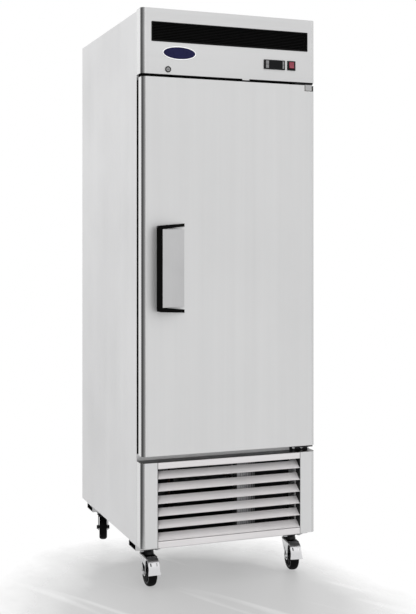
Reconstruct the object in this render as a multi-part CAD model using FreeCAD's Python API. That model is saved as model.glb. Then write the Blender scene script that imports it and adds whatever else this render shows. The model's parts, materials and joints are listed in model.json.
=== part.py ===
import FreeCAD, Part
import math
import os

from FreeCAD import Vector

# One-door reach-in refrigerator on four swivel casters. Millimetres, +Z up.
# The model is drawn with y = 0 on the header's front face and the back at y = DEPTH,
# and save() moves it so that the origin is the middle of the footprint on the floor.

# ---- driving dimensions -------------------------------------------------------------
WIDTH = 686.0
DEPTH = 800.0
HEADER_TOP = 2069.0
SHEET = 1.2
CORNER_RADIUS = 16.0

FRAME_Y = 52.0
BODY_TOP = 2064.0
BODY_BOTTOM = 155.0
BASE_TOP = 457.0
HEADER_BOTTOM = 1836.0

HALF = WIDTH / 2
BACK_Y = DEPTH - 2.5
LINER_HALF = 283.0
LINER_BACK = 740.0
LINER_FLOOR = 517.0
LINER_CEILING = 2004.0
OPENING_TOP = 1788.0
STRIP_DEPTH = 30.0

DOOR_HALF = 341.0
DOOR_FRONT = -4.0
DOOR_BACK = 36.0
DOOR_BOTTOM = 481.0
DOOR_TOP = 1825.0
GASKET_REACH = 51.7

HINGE_X = 322.0
HINGE_Y = 18.0
PIN_RADIUS = 5.0
RUNNING_GAP = 0.05
FACE_GAP = 0.3

HANDLE_FRONT = -42.0
HANDLE_LEFT = -297.0
HANDLE_FOOT = -284.0
HANDLE_RIGHT = -182.0
HANDLE_LOW = 987.5
HANDLE_HIGH = 1306.0
HANDLE_BAR = 20.0

LOCK_X = -242.5
LOCK_Z = 1854.0
CAM_REACH = 44.0
CAM_Y = 23.0

GRILLE_HALF = 280.5
LOUVRE_TOP = 433.5
LOUVRE_LOW = 178.5
LOUVRE_COUNT = 6
LOUVRE_GAP = 10.5
LOUVRE_DEPTH = 30.0

WHEEL_RADIUS = 50.0
WHEEL_WIDTH = 32.0
TYRE_THICK = 10.0
TYRE_ROUNDING = 9.0
CASTER_HEIGHT = 133.0
CASTER_TRAIL = 30.0
CASTER_X = 286.0
CASTER_FRONT_Y = 104.0
CASTER_REAR_Y = 678.0
AXLE_RADIUS = 5.0
# name: pivot x, pivot y, heading of the wheel away from +Y in degrees, has a brake
CASTERS = {
    "fl": (-CASTER_X, CASTER_FRONT_Y, 1.0, True),
    "fr": (CASTER_X, CASTER_FRONT_Y, 8.0, True),
    "rl": (-CASTER_X, CASTER_REAR_Y, 196.0, False),
    "rr": (CASTER_X, CASTER_REAR_Y, 192.0, False),
}

SHELF_LEVELS = {"shelf_bottom": 830.0, "shelf_middle": 1120.0, "shelf_top": 1410.0}
SHELF_HALF = 268.0
SHELF_FRONT = 120.0
SHELF_BACK = 700.0
STANDARD_Y = (160.0, 660.0)
STANDARD_PROUD = 10.0

ORIGIN_Y = (DEPTH + HANDLE_FRONT) / 2
EPS = 0.01


# ---- helpers ------------------------------------------------------------------------
def box(x0, x1, y0, y1, z0, z1):
    return Part.makeBox(x1 - x0, y1 - y0, z1 - z0, Vector(x0, y0, z0))


def rod(radius, start, end):
    """A round bar between two points."""
    start = Vector(*start)
    along = Vector(*end) - start
    return Part.makeCylinder(radius, along.Length, start, along)


def fuse(shapes):
    whole = shapes[0].multiFuse(shapes[1:]) if len(shapes) > 1 else shapes[0]
    return whole.removeSplitter()


def cut(shape, tools):
    return shape.cut(Part.makeCompound(tools)) if tools else shape


def mirrored(shape):
    """The same shape on the other side of x = 0."""
    return shape.mirror(Vector(0, 0, 0), Vector(1, 0, 0))


def prism_x(points, x0, x1):
    """A (y, z) outline extruded along X."""
    corners = [Vector(x0, y, z) for y, z in points]
    face = Part.Face(Part.makePolygon(corners + corners[:1]))
    return face.extrude(Vector(x1 - x0, 0, 0))


def prism_z(points, z0, z1):
    """An (x, y) outline extruded along Z."""
    corners = [Vector(x, y, z0) for x, y in points]
    face = Part.Face(Part.makePolygon(corners + corners[:1]))
    return face.extrude(Vector(0, 0, z1 - z0))


def edges_along(shape, axis, wanted):
    """Straight edges parallel to the axis whose middle passes the test."""
    found = []
    for edge in shape.Edges:
        if edge.Length < EPS or not isinstance(edge.Curve, Part.Line):
            continue
        start, end = edge.Vertexes[0].Point, edge.Vertexes[-1].Point
        if abs(abs((end - start).normalize().dot(axis)) - 1) < EPS and wanted((start + end) * 0.5):
            found.append(edge)
    return found


def front_rounded(x0, x1, y0, y1, z0, z1, radius, left=True, right=True):
    """A block whose upright front corners are rounded."""
    block = box(x0, x1, y0, y1, z0, z1)

    def at_corner(p):
        on_left = left and abs(p.x - x0) < EPS
        on_right = right and abs(p.x - x1) < EPS
        return abs(p.y - y0) < EPS and (on_left or on_right)

    return block.makeFillet(radius, edges_along(block, Vector(0, 0, 1), at_corner))


def tray(x0, x1, y0, y1, z0, z1, radius, sheet, left=True, right=True, open_ends=False):
    """A sheet-metal front cover that is open at the back."""
    outer = front_rounded(x0, x1, y0, y1, z0, z1, radius, left, right)
    low = z0 - 1 if open_ends else z0 + sheet
    high = z1 + 1 if open_ends else z1 - sheet
    inner = front_rounded(x0 + sheet, x1 - sheet, y0 + sheet, y1 + 1, low, high,
                          radius - sheet, left, right)
    return outer.cut(inner)


def hex_bolt(across, head, shank_radius, start, direction, grip):
    """A hexagon head standing off the point, with its shank going the other way."""
    direction = Vector(*direction).normalize()
    start = Vector(*start)
    reach = across / math.sqrt(3)
    angles = [math.radians(60 * i + 30) for i in range(6)]
    corners = [Vector(reach * math.cos(a), reach * math.sin(a), 0) for a in angles]
    hexagon = Part.Face(Part.makePolygon(corners + corners[:1])).extrude(Vector(0, 0, head))
    hexagon.Placement = FreeCAD.Placement(start, FreeCAD.Rotation(Vector(0, 0, 1), direction))
    shank = Part.makeCylinder(shank_radius, grip, start, direction * -1)
    return fuse([hexagon, shank])


def pan_screw(radius, head, shank_radius, start, direction, grip):
    """A domed screw head on the surface, with its shank through the sheet."""
    direction = Vector(*direction).normalize()
    start = Vector(*start)
    dome = Part.makeCone(radius, radius * 0.55, head, start, direction)
    shank = Part.makeCylinder(shank_radius, grip, start, direction * -1)
    return fuse([dome, shank])


def tube_path(points, radius):
    """Straight runs through the points, joined by tangent arcs of the given radius."""
    corners = [Vector(*p) for p in points]
    edges = []
    last = corners[0]
    for before, corner, after in zip(corners, corners[1:], corners[2:]):
        back = (before - corner).normalize()
        ahead = (after - corner).normalize()
        half_turn = (math.pi - back.getAngle(ahead)) / 2
        setback = radius * math.tan(half_turn)
        start = corner + back * setback
        end = corner + ahead * setback
        inward = (back + ahead).normalize()
        centre = corner + inward * (radius / math.cos(half_turn))
        middle = centre - inward * radius
        edges.append(Part.LineSegment(last, start).toShape())
        edges.append(Part.Arc(start, middle, end).toShape())
        last = end
    edges.append(Part.LineSegment(last, corners[-1]).toShape())
    return Part.Wire(edges)


def pipe(points, bend, radius):
    path = tube_path(points, bend)
    start = Vector(*points[0])
    ahead = Vector(*points[1]) - start
    ring = Part.Wire(Part.makeCircle(radius, start, ahead))
    return path.makePipeShell([ring], True, False)


def save(name, shape):
    shape = shape.copy()
    shape.translate(Vector(0, -ORIGIN_Y, 0))
    shape.exportStep("parts/" + name + ".step")


# ---- cabinet shell ------------------------------------------------------------------
SIDE_FLANGE = 18.0
PANEL_GAP = 0.2
TOP_SKIRT = 15.0


def side_panel():
    """The left side sheet, folded inward at the front and at the back."""
    plate = box(-HALF, -HALF + SHEET, FRAME_Y, DEPTH, BODY_BOTTOM, BODY_TOP)
    front = box(-HALF, -HALF + SIDE_FLANGE, FRAME_Y, FRAME_Y + SHEET, BODY_BOTTOM, BODY_TOP)
    rear = box(-HALF, -HALF + SIDE_FLANGE, BACK_Y - SHEET, BACK_Y, BODY_BOTTOM, BODY_TOP)
    return fuse([plate, front, rear])


def top_panel():
    inside = HALF - SHEET
    low_y, high_y = FRAME_Y + SHEET, BACK_Y - SHEET
    plate = box(-inside, inside, low_y, high_y, BODY_TOP - SHEET, BODY_TOP)
    skirts = []
    for x in (-inside, inside - SHEET):
        skirts.append(box(x, x + SHEET, low_y, high_y, BODY_TOP - TOP_SKIRT, BODY_TOP))
    return fuse([plate] + skirts)


VENT_SLOTS = 12
VENT_PITCH = 16.0
VENT_LOW = 205.0
VENT_LENGTH = 110.0
VENT_COLUMNS = (-190.0, -65.0)
GLAND_X = -265.0
GLAND_Z = 250.0
GLAND_RADIUS = 10.0
CORD_RADIUS = 5.0


def back_panel():
    inside = HALF - SHEET - PANEL_GAP
    plate = box(-inside, inside, BACK_Y, BACK_Y + SHEET, BODY_BOTTOM, BODY_TOP)
    tools = []
    for column in VENT_COLUMNS:
        for i in range(VENT_SLOTS):
            z = VENT_LOW + VENT_PITCH * i
            tools.append(box(column, column + VENT_LENGTH, BACK_Y - 1, DEPTH, z, z + 6))
    tools.append(rod(GLAND_RADIUS, (GLAND_X, BACK_Y - 1, GLAND_Z), (GLAND_X, DEPTH, GLAND_Z)))
    return cut(plate, tools + back_screw_shanks())


DUCT_X = (200.0, 232.0)
DUCT_Y = (757.0, 789.0)
DUCT_TURN_Z = (1918.0, 1950.0)


def pipe_duct():
    """The passage in the foam for the pipes, from the machine bay up to the evaporator."""
    upright = box(*DUCT_X, *DUCT_Y, BASE_TOP - 1, DUCT_TURN_Z[1])
    turn = box(*DUCT_X, LINER_BACK - 2, DUCT_Y[1], *DUCT_TURN_Z)
    return upright.fuse(turn)


def cabinet_insulation():
    inside = HALF - SHEET - SHEET
    block = box(-inside, inside, FRAME_Y + SHEET, BACK_Y - SHEET, BASE_TOP + SHEET, BODY_TOP - TOP_SKIRT)
    room = box(-LINER_HALF - 1, LINER_HALF + 1, FRAME_Y + STRIP_DEPTH, LINER_BACK + 1,
               LINER_FLOOR - 1, LINER_CEILING + 1)
    mouth = box(-LINER_HALF - 2, LINER_HALF + 2, FRAME_Y, FRAME_Y + STRIP_DEPTH,
                LINER_FLOOR - 2, OPENING_TOP + 2)
    return cut(block, [room, mouth, pipe_duct()] + bracket_bolt_shanks())


def interior_liner():
    """The stainless inner box, six sheets welded at their edges: five walls and a lintel."""
    front = FRAME_Y + STRIP_DEPTH
    left, right = -LINER_HALF, LINER_HALF
    floor, ceiling = LINER_FLOOR, LINER_CEILING
    back_wall = box(left, right, LINER_BACK, LINER_BACK + 1, floor, ceiling)
    return Part.makeCompound([
        box(left - 1, left, front, LINER_BACK + 1, floor - 1, ceiling + 1),
        box(right, right + 1, front, LINER_BACK + 1, floor - 1, ceiling + 1),
        box(left, right, front, LINER_BACK + 1, floor - 1, floor),
        box(left, right, front, LINER_BACK + 1, ceiling, ceiling + 1),
        box(left, right, front, front + 1, OPENING_TOP, ceiling),
        cut(back_wall, [pipe_duct()]),
    ])


def front_frame():
    """The steel face that the door seals against, with the wall behind the header above it."""
    inside = HALF - SIDE_FLANGE - PANEL_GAP
    plate = box(-inside, inside, FRAME_Y, FRAME_Y + SHEET, BASE_TOP + SHEET, BODY_TOP - TOP_SKIRT)
    doorway = box(-LINER_HALF - 2, LINER_HALF + 2, FRAME_Y - 1, FRAME_Y + 2, LINER_FLOOR - 2, OPENING_TOP + 2)
    return cut(plate, [doorway] + bracket_bolt_shanks())


def breaker_strips():
    """Four plastic strips that bridge the doorway from the steel face to the liner."""
    ys = (FRAME_Y, FRAME_Y + STRIP_DEPTH)
    left, right = -LINER_HALF, LINER_HALF
    return Part.makeCompound([
        box(left - 2, left, *ys, LINER_FLOOR - 2, OPENING_TOP + 2),
        box(right, right + 2, *ys, LINER_FLOOR - 2, OPENING_TOP + 2),
        box(left, right, *ys, LINER_FLOOR - 2, LINER_FLOOR),
        box(left, right, *ys, OPENING_TOP, OPENING_TOP + 2),
    ])


def bay_ceiling_sill():
    """The sheet over the machine bay, which runs forward as the sill under the door."""
    inside = HALF - SHEET
    rear = box(-inside, inside, FRAME_Y + SHEET, BACK_Y - SHEET, BASE_TOP, BASE_TOP + SHEET)
    middle = box(-HALF + SIDE_FLANGE, HALF - SIDE_FLANGE, FRAME_Y - 1, FRAME_Y + 2, BASE_TOP, BASE_TOP + SHEET)
    sill = front_rounded(-HALF, HALF, 0, FRAME_Y, BASE_TOP, BASE_TOP + SHEET, CORNER_RADIUS)
    return cut(fuse([rear, middle, sill]), [pipe_duct()])


def base_pan():
    inside = HALF - SHEET
    plate = box(-inside, inside, FRAME_Y + SHEET, BACK_Y - SHEET, BODY_BOTTOM, BODY_BOTTOM + 1.5)
    return cut(plate, compressor_bolt_shanks())


CHANNEL_WIDTH = 80.0
CHANNEL_WALL = 2.0


def cross_channels():
    """Two rectangular tubes right across the underside, open at their ends."""
    tubes = []
    for y in (CASTER_FRONT_Y, CASTER_REAR_Y):
        outer = box(-HALF, HALF, y - CHANNEL_WIDTH / 2, y + CHANNEL_WIDTH / 2, CASTER_HEIGHT, BODY_BOTTOM)
        inner = box(-HALF - 1, HALF + 1, y - CHANNEL_WIDTH / 2 + CHANNEL_WALL,
                    y + CHANNEL_WIDTH / 2 - CHANNEL_WALL, CASTER_HEIGHT + CHANNEL_WALL,
                    BODY_BOTTOM - CHANNEL_WALL)
        tubes.append(cut(outer.cut(inner), caster_bolt_shanks()))
    return Part.makeCompound(tubes)


POST_INNER = 281.5


def base_corner_posts():
    """The two folded posts either side of the louvres."""
    post = tray(-HALF, -POST_INNER, 0, FRAME_Y, BODY_BOTTOM, BASE_TOP, CORNER_RADIUS, SHEET,
                right=False, open_ends=True)
    return Part.makeCompound([post, mirrored(post)])


def front_grille():
    """Louvre panel: two flat strips, two cheeks and six sloping blades."""
    visible = (LOUVRE_TOP - LOUVRE_LOW - LOUVRE_GAP * (LOUVRE_COUNT - 1)) / LOUVRE_COUNT
    pitch = visible + LOUVRE_GAP
    thick = 1.6
    rise = 26.5
    deep = LOUVRE_DEPTH + 4
    low_edge, high_edge = BODY_BOTTOM - 2 + FACE_GAP, BASE_TOP - FACE_GAP
    pieces = [
        box(-GRILLE_HALF, GRILLE_HALF, 0, SHEET, LOUVRE_TOP, high_edge),
        box(-GRILLE_HALF, GRILLE_HALF, 0, SHEET, low_edge, LOUVRE_LOW),
        box(-GRILLE_HALF, -GRILLE_HALF + SHEET, 0, deep, low_edge, high_edge),
        box(GRILLE_HALF - SHEET, GRILLE_HALF, 0, deep, low_edge, high_edge),
    ]
    for i in range(LOUVRE_COUNT):
        z = LOUVRE_TOP - visible - pitch * i
        outline = [(0, z), (thick, z), (LOUVRE_DEPTH + thick, z + rise),
                   (LOUVRE_DEPTH + thick, z + rise + thick), (LOUVRE_DEPTH, z + rise + thick), (0, z + thick)]
        pieces.append(prism_x(outline, -GRILLE_HALF, GRILLE_HALF))
    return fuse(pieces)


# ---- header -------------------------------------------------------------------------
VENT_LEFT, VENT_RIGHT = -305.0, 311.0
VENT_BOTTOM, VENT_TOP = 1951.0, 2022.0
VENT_RIM = 5.0
VENT_BLADES = 11

CONTROL_X = (131.5, 217.0)
CONTROL_Z = (1877.0, 1912.0)
CONTROL_CUT = 3.0
CONTROL_PROUD = 3.0
WINDOW_X = (154.0, 205.0)
WINDOW_Z = (1881.5, 1908.5)
KEY_PROUD = 0.8
KEY_TRAVEL = 0.8

SWITCH_X = (227.0, 260.0)
SWITCH_PROUD = 2.5
ROCKER_HALF_X = 9.5
ROCKER_HALF_Z = 12.0
ROCKER_TILT = 6.0
ROCKER_PROUD = 2.5
ROCKER_PIVOT_Y = 2.0
ROCKER_PIN = 1.5

LOCK_RADIUS = 9.5
PLUG_RADIUS = 7.0
CAM_SLOT = 7.0
BADGE_X, BADGE_Z = -199.6, 1913.6
BADGE_WIDTH, BADGE_HEIGHT, BADGE_THICK = 126.0, 47.0, 2.5
SIDE_SCREW_Y = 41.0
SIDE_SCREW_LEVELS = (1870.0, 1984.0)
TAB_X = (46.0, 74.0)
TAB_DROP = 4.5


def cam_path(low, high):
    """The slot that the lock's cam swings through, between two heights."""
    y = CAM_Y - (CAM_SLOT - 2.5) / 2
    return box(LOCK_X - 10, LOCK_X + CAM_REACH, y, y + CAM_SLOT, low, high)


def header_panel():
    """The cover over the top, with a lip folded down behind it and a small tab under its front edge."""
    cover = tray(-HALF, HALF, 0, FRAME_Y, HEADER_BOTTOM, HEADER_TOP, CORNER_RADIUS, SHEET)
    lip = box(-HALF + SHEET, HALF - SHEET, FRAME_Y - SHEET, FRAME_Y, BODY_TOP - 8, HEADER_TOP - SHEET)
    tab = box(*TAB_X, 0.5, 0.5 + SHEET, HEADER_BOTTOM - TAB_DROP, HEADER_BOTTOM + SHEET)
    cover = fuse([cover, lip, tab])
    tools = [
        box(VENT_LEFT + 2, VENT_RIGHT - 2, -1, 3, VENT_BOTTOM + 2, VENT_TOP - 2),
        box(CONTROL_X[0] + CONTROL_CUT, CONTROL_X[1] - CONTROL_CUT, -1, 3,
            CONTROL_Z[0] + CONTROL_CUT, CONTROL_Z[1] - CONTROL_CUT),
        box(SWITCH_X[0] + CONTROL_CUT, SWITCH_X[1] - CONTROL_CUT, -1, 3,
            CONTROL_Z[0] + CONTROL_CUT, CONTROL_Z[1] - CONTROL_CUT),
        rod(LOCK_RADIUS, (LOCK_X, -1, LOCK_Z), (LOCK_X, 3, LOCK_Z)),
        cam_path(HEADER_BOTTOM - 1, HEADER_BOTTOM + 2),
        # the lower fold stops short of the hinge bracket
        box(-HALF + 2, HALF - 2, FRAME_Y - 8, FRAME_Y + 1, HEADER_BOTTOM - 1, HEADER_BOTTOM + 2),
    ]
    left_screws = side_screws()
    return cut(cover, tools + left_screws + [mirrored(s) for s in left_screws])


def header_vent_grille():
    """Black grille: a rim that laps the panel and thin sloping blades inside it."""
    lap = 1.5
    deep = 13.0
    rim = box(VENT_LEFT, VENT_RIGHT, -lap, 0, VENT_BOTTOM, VENT_TOP)
    sleeve = box(VENT_LEFT + 2, VENT_RIGHT - 2, 0, deep, VENT_BOTTOM + 2, VENT_TOP - 2)
    hole = box(VENT_LEFT + VENT_RIM, VENT_RIGHT - VENT_RIM, -2, deep + 1,
               VENT_BOTTOM + VENT_RIM, VENT_TOP - VENT_RIM)
    shell = fuse([rim, sleeve]).cut(hole)
    pitch = (VENT_TOP - VENT_BOTTOM - 2 * VENT_RIM) / VENT_BLADES
    blades = []
    for i in range(VENT_BLADES):
        z = VENT_BOTTOM + VENT_RIM + pitch * (i + 0.35)
        outline = [(0, z), (0, z + 1.4), (deep - 2, z + 5.4), (deep - 2, z + 4.0)]
        blades.append(prism_x(outline, VENT_LEFT + VENT_RIM - 1, VENT_RIGHT - VENT_RIM + 1))
    return fuse([shell] + blades)


def badge_plate():
    """A blank oval plate with a chamfered rim."""
    centre = Vector(BADGE_X, 0, BADGE_Z)
    oval = Part.Ellipse(Vector(0, 0, 0), BADGE_WIDTH / 2, BADGE_HEIGHT / 2).toShape()
    plate = Part.Face(Part.Wire(oval)).extrude(Vector(0, 0, BADGE_THICK))
    plate = plate.makeChamfer(0.8, [e for e in plate.Edges if e.BoundBox.ZMin > BADGE_THICK - EPS])
    plate.Placement = FreeCAD.Placement(centre, FreeCAD.Rotation(Vector(1, 0, 0), 90))
    return plate


def key_places():
    """Name, x range and z range of each key of the controller."""
    middle = (WINDOW_Z[0] + WINDOW_Z[1]) / 2
    left = (139.5, 151.0)
    right = (207.0, 213.0)
    low = (WINDOW_Z[0], middle - 0.7)
    high = (middle + 0.7, WINDOW_Z[1])
    return {
        "controller_key_set": (left, high),
        "controller_key_defrost": (left, low),
        "controller_key_up": (right, high),
        "controller_key_down": (right, low),
    }


KEY_DEEP = 4.0
KEY_GAP = 0.3


def controller_key(xs, zs):
    return box(xs[0], xs[1], -CONTROL_PROUD - KEY_PROUD, -CONTROL_PROUD + KEY_DEEP, zs[0], zs[1])


def controller_housing():
    """Bezel on the panel, body behind it, with a pocket for the window and for each key."""
    bezel = box(*CONTROL_X, -CONTROL_PROUD, 0, *CONTROL_Z)
    bezel = bezel.makeFillet(2.0, edges_along(bezel, Vector(0, 1, 0), lambda p: True))
    body = box(CONTROL_X[0] + CONTROL_CUT, CONTROL_X[1] - CONTROL_CUT, 0, 48,
               CONTROL_Z[0] + CONTROL_CUT, CONTROL_Z[1] - CONTROL_CUT)
    tools = [box(*WINDOW_X, -CONTROL_PROUD - 1, -CONTROL_PROUD + 1.5, *WINDOW_Z)]
    for xs, zs in key_places().values():
        tools.append(box(xs[0] - KEY_GAP, xs[1] + KEY_GAP, -CONTROL_PROUD - 1,
                         -CONTROL_PROUD + KEY_DEEP + KEY_TRAVEL + KEY_GAP, zs[0] - KEY_GAP, zs[1] + KEY_GAP))
    return cut(fuse([bezel, body]), tools)


def controller_display():
    return box(*WINDOW_X, -CONTROL_PROUD - 0.2, -CONTROL_PROUD + 1.5, *WINDOW_Z)


def light_switch_body():
    bezel = box(*SWITCH_X, -SWITCH_PROUD, 0, *CONTROL_Z)
    bezel = bezel.makeFillet(2.0, edges_along(bezel, Vector(0, 1, 0), lambda p: True))
    body = box(SWITCH_X[0] + CONTROL_CUT, SWITCH_X[1] - CONTROL_CUT, 0, 22,
               CONTROL_Z[0] + CONTROL_CUT, CONTROL_Z[1] - CONTROL_CUT)
    lugs = [box(x - 3, x + 3, 22, 30, z - 0.4, z + 0.4) for x, z in ((237, 1888), (250, 1888), (243.5, 1901))]
    x, z = rocker_centre()
    well = box(x - ROCKER_HALF_X - 0.5, x + ROCKER_HALF_X + 0.5, -SWITCH_PROUD - 1, 11,
               z - ROCKER_HALF_Z - 0.6, z + ROCKER_HALF_Z + 0.6)
    return cut(fuse([bezel, body] + lugs), [well, rocker_pivot(ROCKER_PIN + RUNNING_GAP, 3.0)])


def rocker_pivot(radius, reach):
    """A pin along X at the rocker's pivot, reaching past both its sides."""
    x, z = rocker_centre()
    half = ROCKER_HALF_X + reach
    return rod(radius, (x - half, ROCKER_PIVOT_Y, z), (x + half, ROCKER_PIVOT_Y, z))


def rocker_centre():
    return (SWITCH_X[0] + SWITCH_X[1]) / 2, (CONTROL_Z[0] + CONTROL_Z[1]) / 2


def light_switch_rocker():
    """A rocker with two faces, resting on its lower half. It tips about a line along X."""
    x, z = rocker_centre()
    lift = ROCKER_HALF_Z * math.tan(math.radians(ROCKER_TILT))
    face = -SWITCH_PROUD - ROCKER_PROUD
    outline = [(face, z), (face - lift, z + ROCKER_HALF_Z - 0.5), (5, z + ROCKER_HALF_Z - 2), (8, z),
               (5, z - ROCKER_HALF_Z + 2), (face - lift, z - ROCKER_HALF_Z + 0.5)]
    rocker = fuse([prism_x(outline, x - ROCKER_HALF_X, x + ROCKER_HALF_X), rocker_pivot(ROCKER_PIN, 2.5)])
    rocker.rotate(Vector(x, ROCKER_PIVOT_Y, z), Vector(1, 0, 0), -ROCKER_TILT)
    return rocker


def lock_body():
    flange = rod(11, (LOCK_X, -2.5, LOCK_Z), (LOCK_X, 0, LOCK_Z))
    barrel = rod(LOCK_RADIUS, (LOCK_X, 0, LOCK_Z), (LOCK_X, 20, LOCK_Z))
    nut = hex_bolt(26, 5, 2, (LOCK_X, SHEET, LOCK_Z), (0, 1, 0), 1)
    bore = rod(PLUG_RADIUS + RUNNING_GAP, (LOCK_X, -4, LOCK_Z), (LOCK_X, 30, LOCK_Z))
    return fuse([flange, barrel, nut]).cut(bore)


def lock_cylinder():
    """The plug with its keyway, and the cam on its tail. The cam points along +X when unlocked."""
    plug = rod(PLUG_RADIUS, (LOCK_X, -2.0, LOCK_Z), (LOCK_X, CAM_Y, LOCK_Z))
    keyway = box(LOCK_X - 4.2, LOCK_X + 4.2, -3, 12, LOCK_Z - 0.8, LOCK_Z + 0.8)
    cam = box(LOCK_X, LOCK_X + CAM_REACH - 7, CAM_Y, CAM_Y + 2.5, LOCK_Z - 7, LOCK_Z + 7)
    tip = rod(7, (LOCK_X + CAM_REACH - 7, CAM_Y, LOCK_Z), (LOCK_X + CAM_REACH - 7, CAM_Y + 2.5, LOCK_Z))
    root = rod(7, (LOCK_X, CAM_Y, LOCK_Z), (LOCK_X, CAM_Y + 2.5, LOCK_Z))
    return fuse([plug, cam, tip, root]).cut(keyway)


# ---- door ---------------------------------------------------------------------------
NOTCH_X = (297.0, 333.5)
NOTCH_DROP = 22.0
BLOCK_X = (300.0, 330.0)
BLOCK_Y = (-1.0, 33.0)
BLOCK_DEEP = 21.5
BLOCK_TOP = 1827.0
CAM_POCKET = 24.0


def door_outer_pan():
    """The stainless pan: front, four sides and a fold round the back."""
    outer = front_rounded(-DOOR_HALF, DOOR_HALF, DOOR_FRONT, DOOR_BACK, DOOR_BOTTOM, DOOR_TOP, CORNER_RADIUS)
    inner = front_rounded(-DOOR_HALF + SHEET, DOOR_HALF - SHEET, DOOR_FRONT + SHEET, DOOR_BACK - SHEET,
                          DOOR_BOTTOM + SHEET, DOOR_TOP - SHEET, CORNER_RADIUS - SHEET)
    back = box(-DOOR_HALF + 25, DOOR_HALF - 25, DOOR_BACK - 2, DOOR_BACK + 1, DOOR_BOTTOM + 25, DOOR_TOP - 25)
    notch = box(*NOTCH_X, DOOR_FRONT - 1, BLOCK_Y[1] + 1.5, DOOR_TOP - NOTCH_DROP, DOOR_TOP + 1)
    foot = rod(8, (HINGE_X, HINGE_Y, DOOR_BOTTOM - 1), (HINGE_X, HINGE_Y, DOOR_BOTTOM + 2))
    return cut(outer, [inner, back, notch, cam_path(DOOR_TOP - 2, DOOR_TOP + 1), foot])


def door_insulation():
    room = front_rounded(-DOOR_HALF + SHEET, DOOR_HALF - SHEET, DOOR_FRONT + SHEET, DOOR_BACK - SHEET,
                         DOOR_BOTTOM + SHEET, DOOR_TOP - SHEET, CORNER_RADIUS - SHEET)
    middle = box(-DOOR_HALF + 25, DOOR_HALF - 25, DOOR_BACK - 2, DOOR_BACK, DOOR_BOTTOM + 25, DOOR_TOP - 25)
    tools = [
        box(NOTCH_X[0], DOOR_HALF, DOOR_FRONT, BLOCK_Y[1] + 1.5, DOOR_TOP - NOTCH_DROP - 1, BLOCK_TOP),
        box(NOTCH_X[0], DOOR_HALF, DOOR_FRONT, BLOCK_Y[1] + 1.5, DOOR_BOTTOM, DOOR_BOTTOM + BLOCK_DEEP + 1),
        cam_path(DOOR_TOP - CAM_POCKET, DOOR_TOP),
    ]
    return cut(room.fuse(middle), tools)


INNER_HALF = 316.0
INNER_LOW, INNER_HIGH = 488.0, 1817.0
DISH_EDGE = 46.0
DISH_DEEP = 12.0
GASKET_WIDTH = 24.0


def door_inner_panel():
    """A flat rim behind the pan, with a shallow dish that fills the middle of the gasket."""
    rim = box(-INNER_HALF, INNER_HALF, DOOR_BACK, DOOR_BACK + 1, INNER_LOW, INNER_HIGH)
    dish = box(-INNER_HALF + DISH_EDGE, INNER_HALF - DISH_EDGE, DOOR_BACK, DOOR_BACK + DISH_DEEP,
               INNER_LOW + DISH_EDGE, INNER_HIGH - DISH_EDGE)
    dish = dish.makeChamfer(8.0, [e for e in dish.Edges if e.BoundBox.YMin > DOOR_BACK + DISH_DEEP - EPS])
    hollow = box(-INNER_HALF + DISH_EDGE + 9, INNER_HALF - DISH_EDGE - 9, DOOR_BACK - 1,
                 DOOR_BACK + DISH_DEEP - 1, INNER_LOW + DISH_EDGE + 9, INNER_HIGH - DISH_EDGE - 9)
    return fuse([rim, dish]).cut(hollow)


def gasket_ring(inset, width, y0, y1):
    outer = box(-INNER_HALF + inset, INNER_HALF - inset, y0, y1, INNER_LOW + inset, INNER_HIGH - inset)
    reach = inset + width
    inner = box(-INNER_HALF + reach, INNER_HALF - reach, y0 - 1, y1 + 1, INNER_LOW + reach, INNER_HIGH - reach)
    return outer.cut(inner)


def door_gasket():
    """A bellows seal: a foot, a narrow waist and a magnet head."""
    foot_y = DOOR_BACK + 1
    return fuse([
        gasket_ring(0, GASKET_WIDTH, foot_y, foot_y + 3),
        gasket_ring(4, GASKET_WIDTH - 8, foot_y + 3, GASKET_REACH - 5),
        gasket_ring(1, GASKET_WIDTH - 2, GASKET_REACH - 5, GASKET_REACH),
    ])


def door_hinge_blocks():
    """Steel blocks in the door's hinge corners, each with a bore for a hinge pin."""
    blocks = []
    for low, high in ((BLOCK_TOP - BLOCK_DEEP, BLOCK_TOP), (DOOR_BOTTOM + SHEET, DOOR_BOTTOM + BLOCK_DEEP)):
        block = box(*BLOCK_X, *BLOCK_Y, low, high)
        block = block.makeFillet(3.0, edges_along(block, Vector(0, 0, 1), lambda p: p.y < 0))
        bore = rod(PIN_RADIUS + RUNNING_GAP, (HINGE_X, HINGE_Y, low - 1), (HINGE_X, HINGE_Y, high + 1))
        blocks.append(block.cut(bore))
    return Part.makeCompound(blocks)


PLATE_THICK = 4.0
BRACKET_X = (262.0, 335.0)
PIN_LENGTH = 20.0


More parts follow.
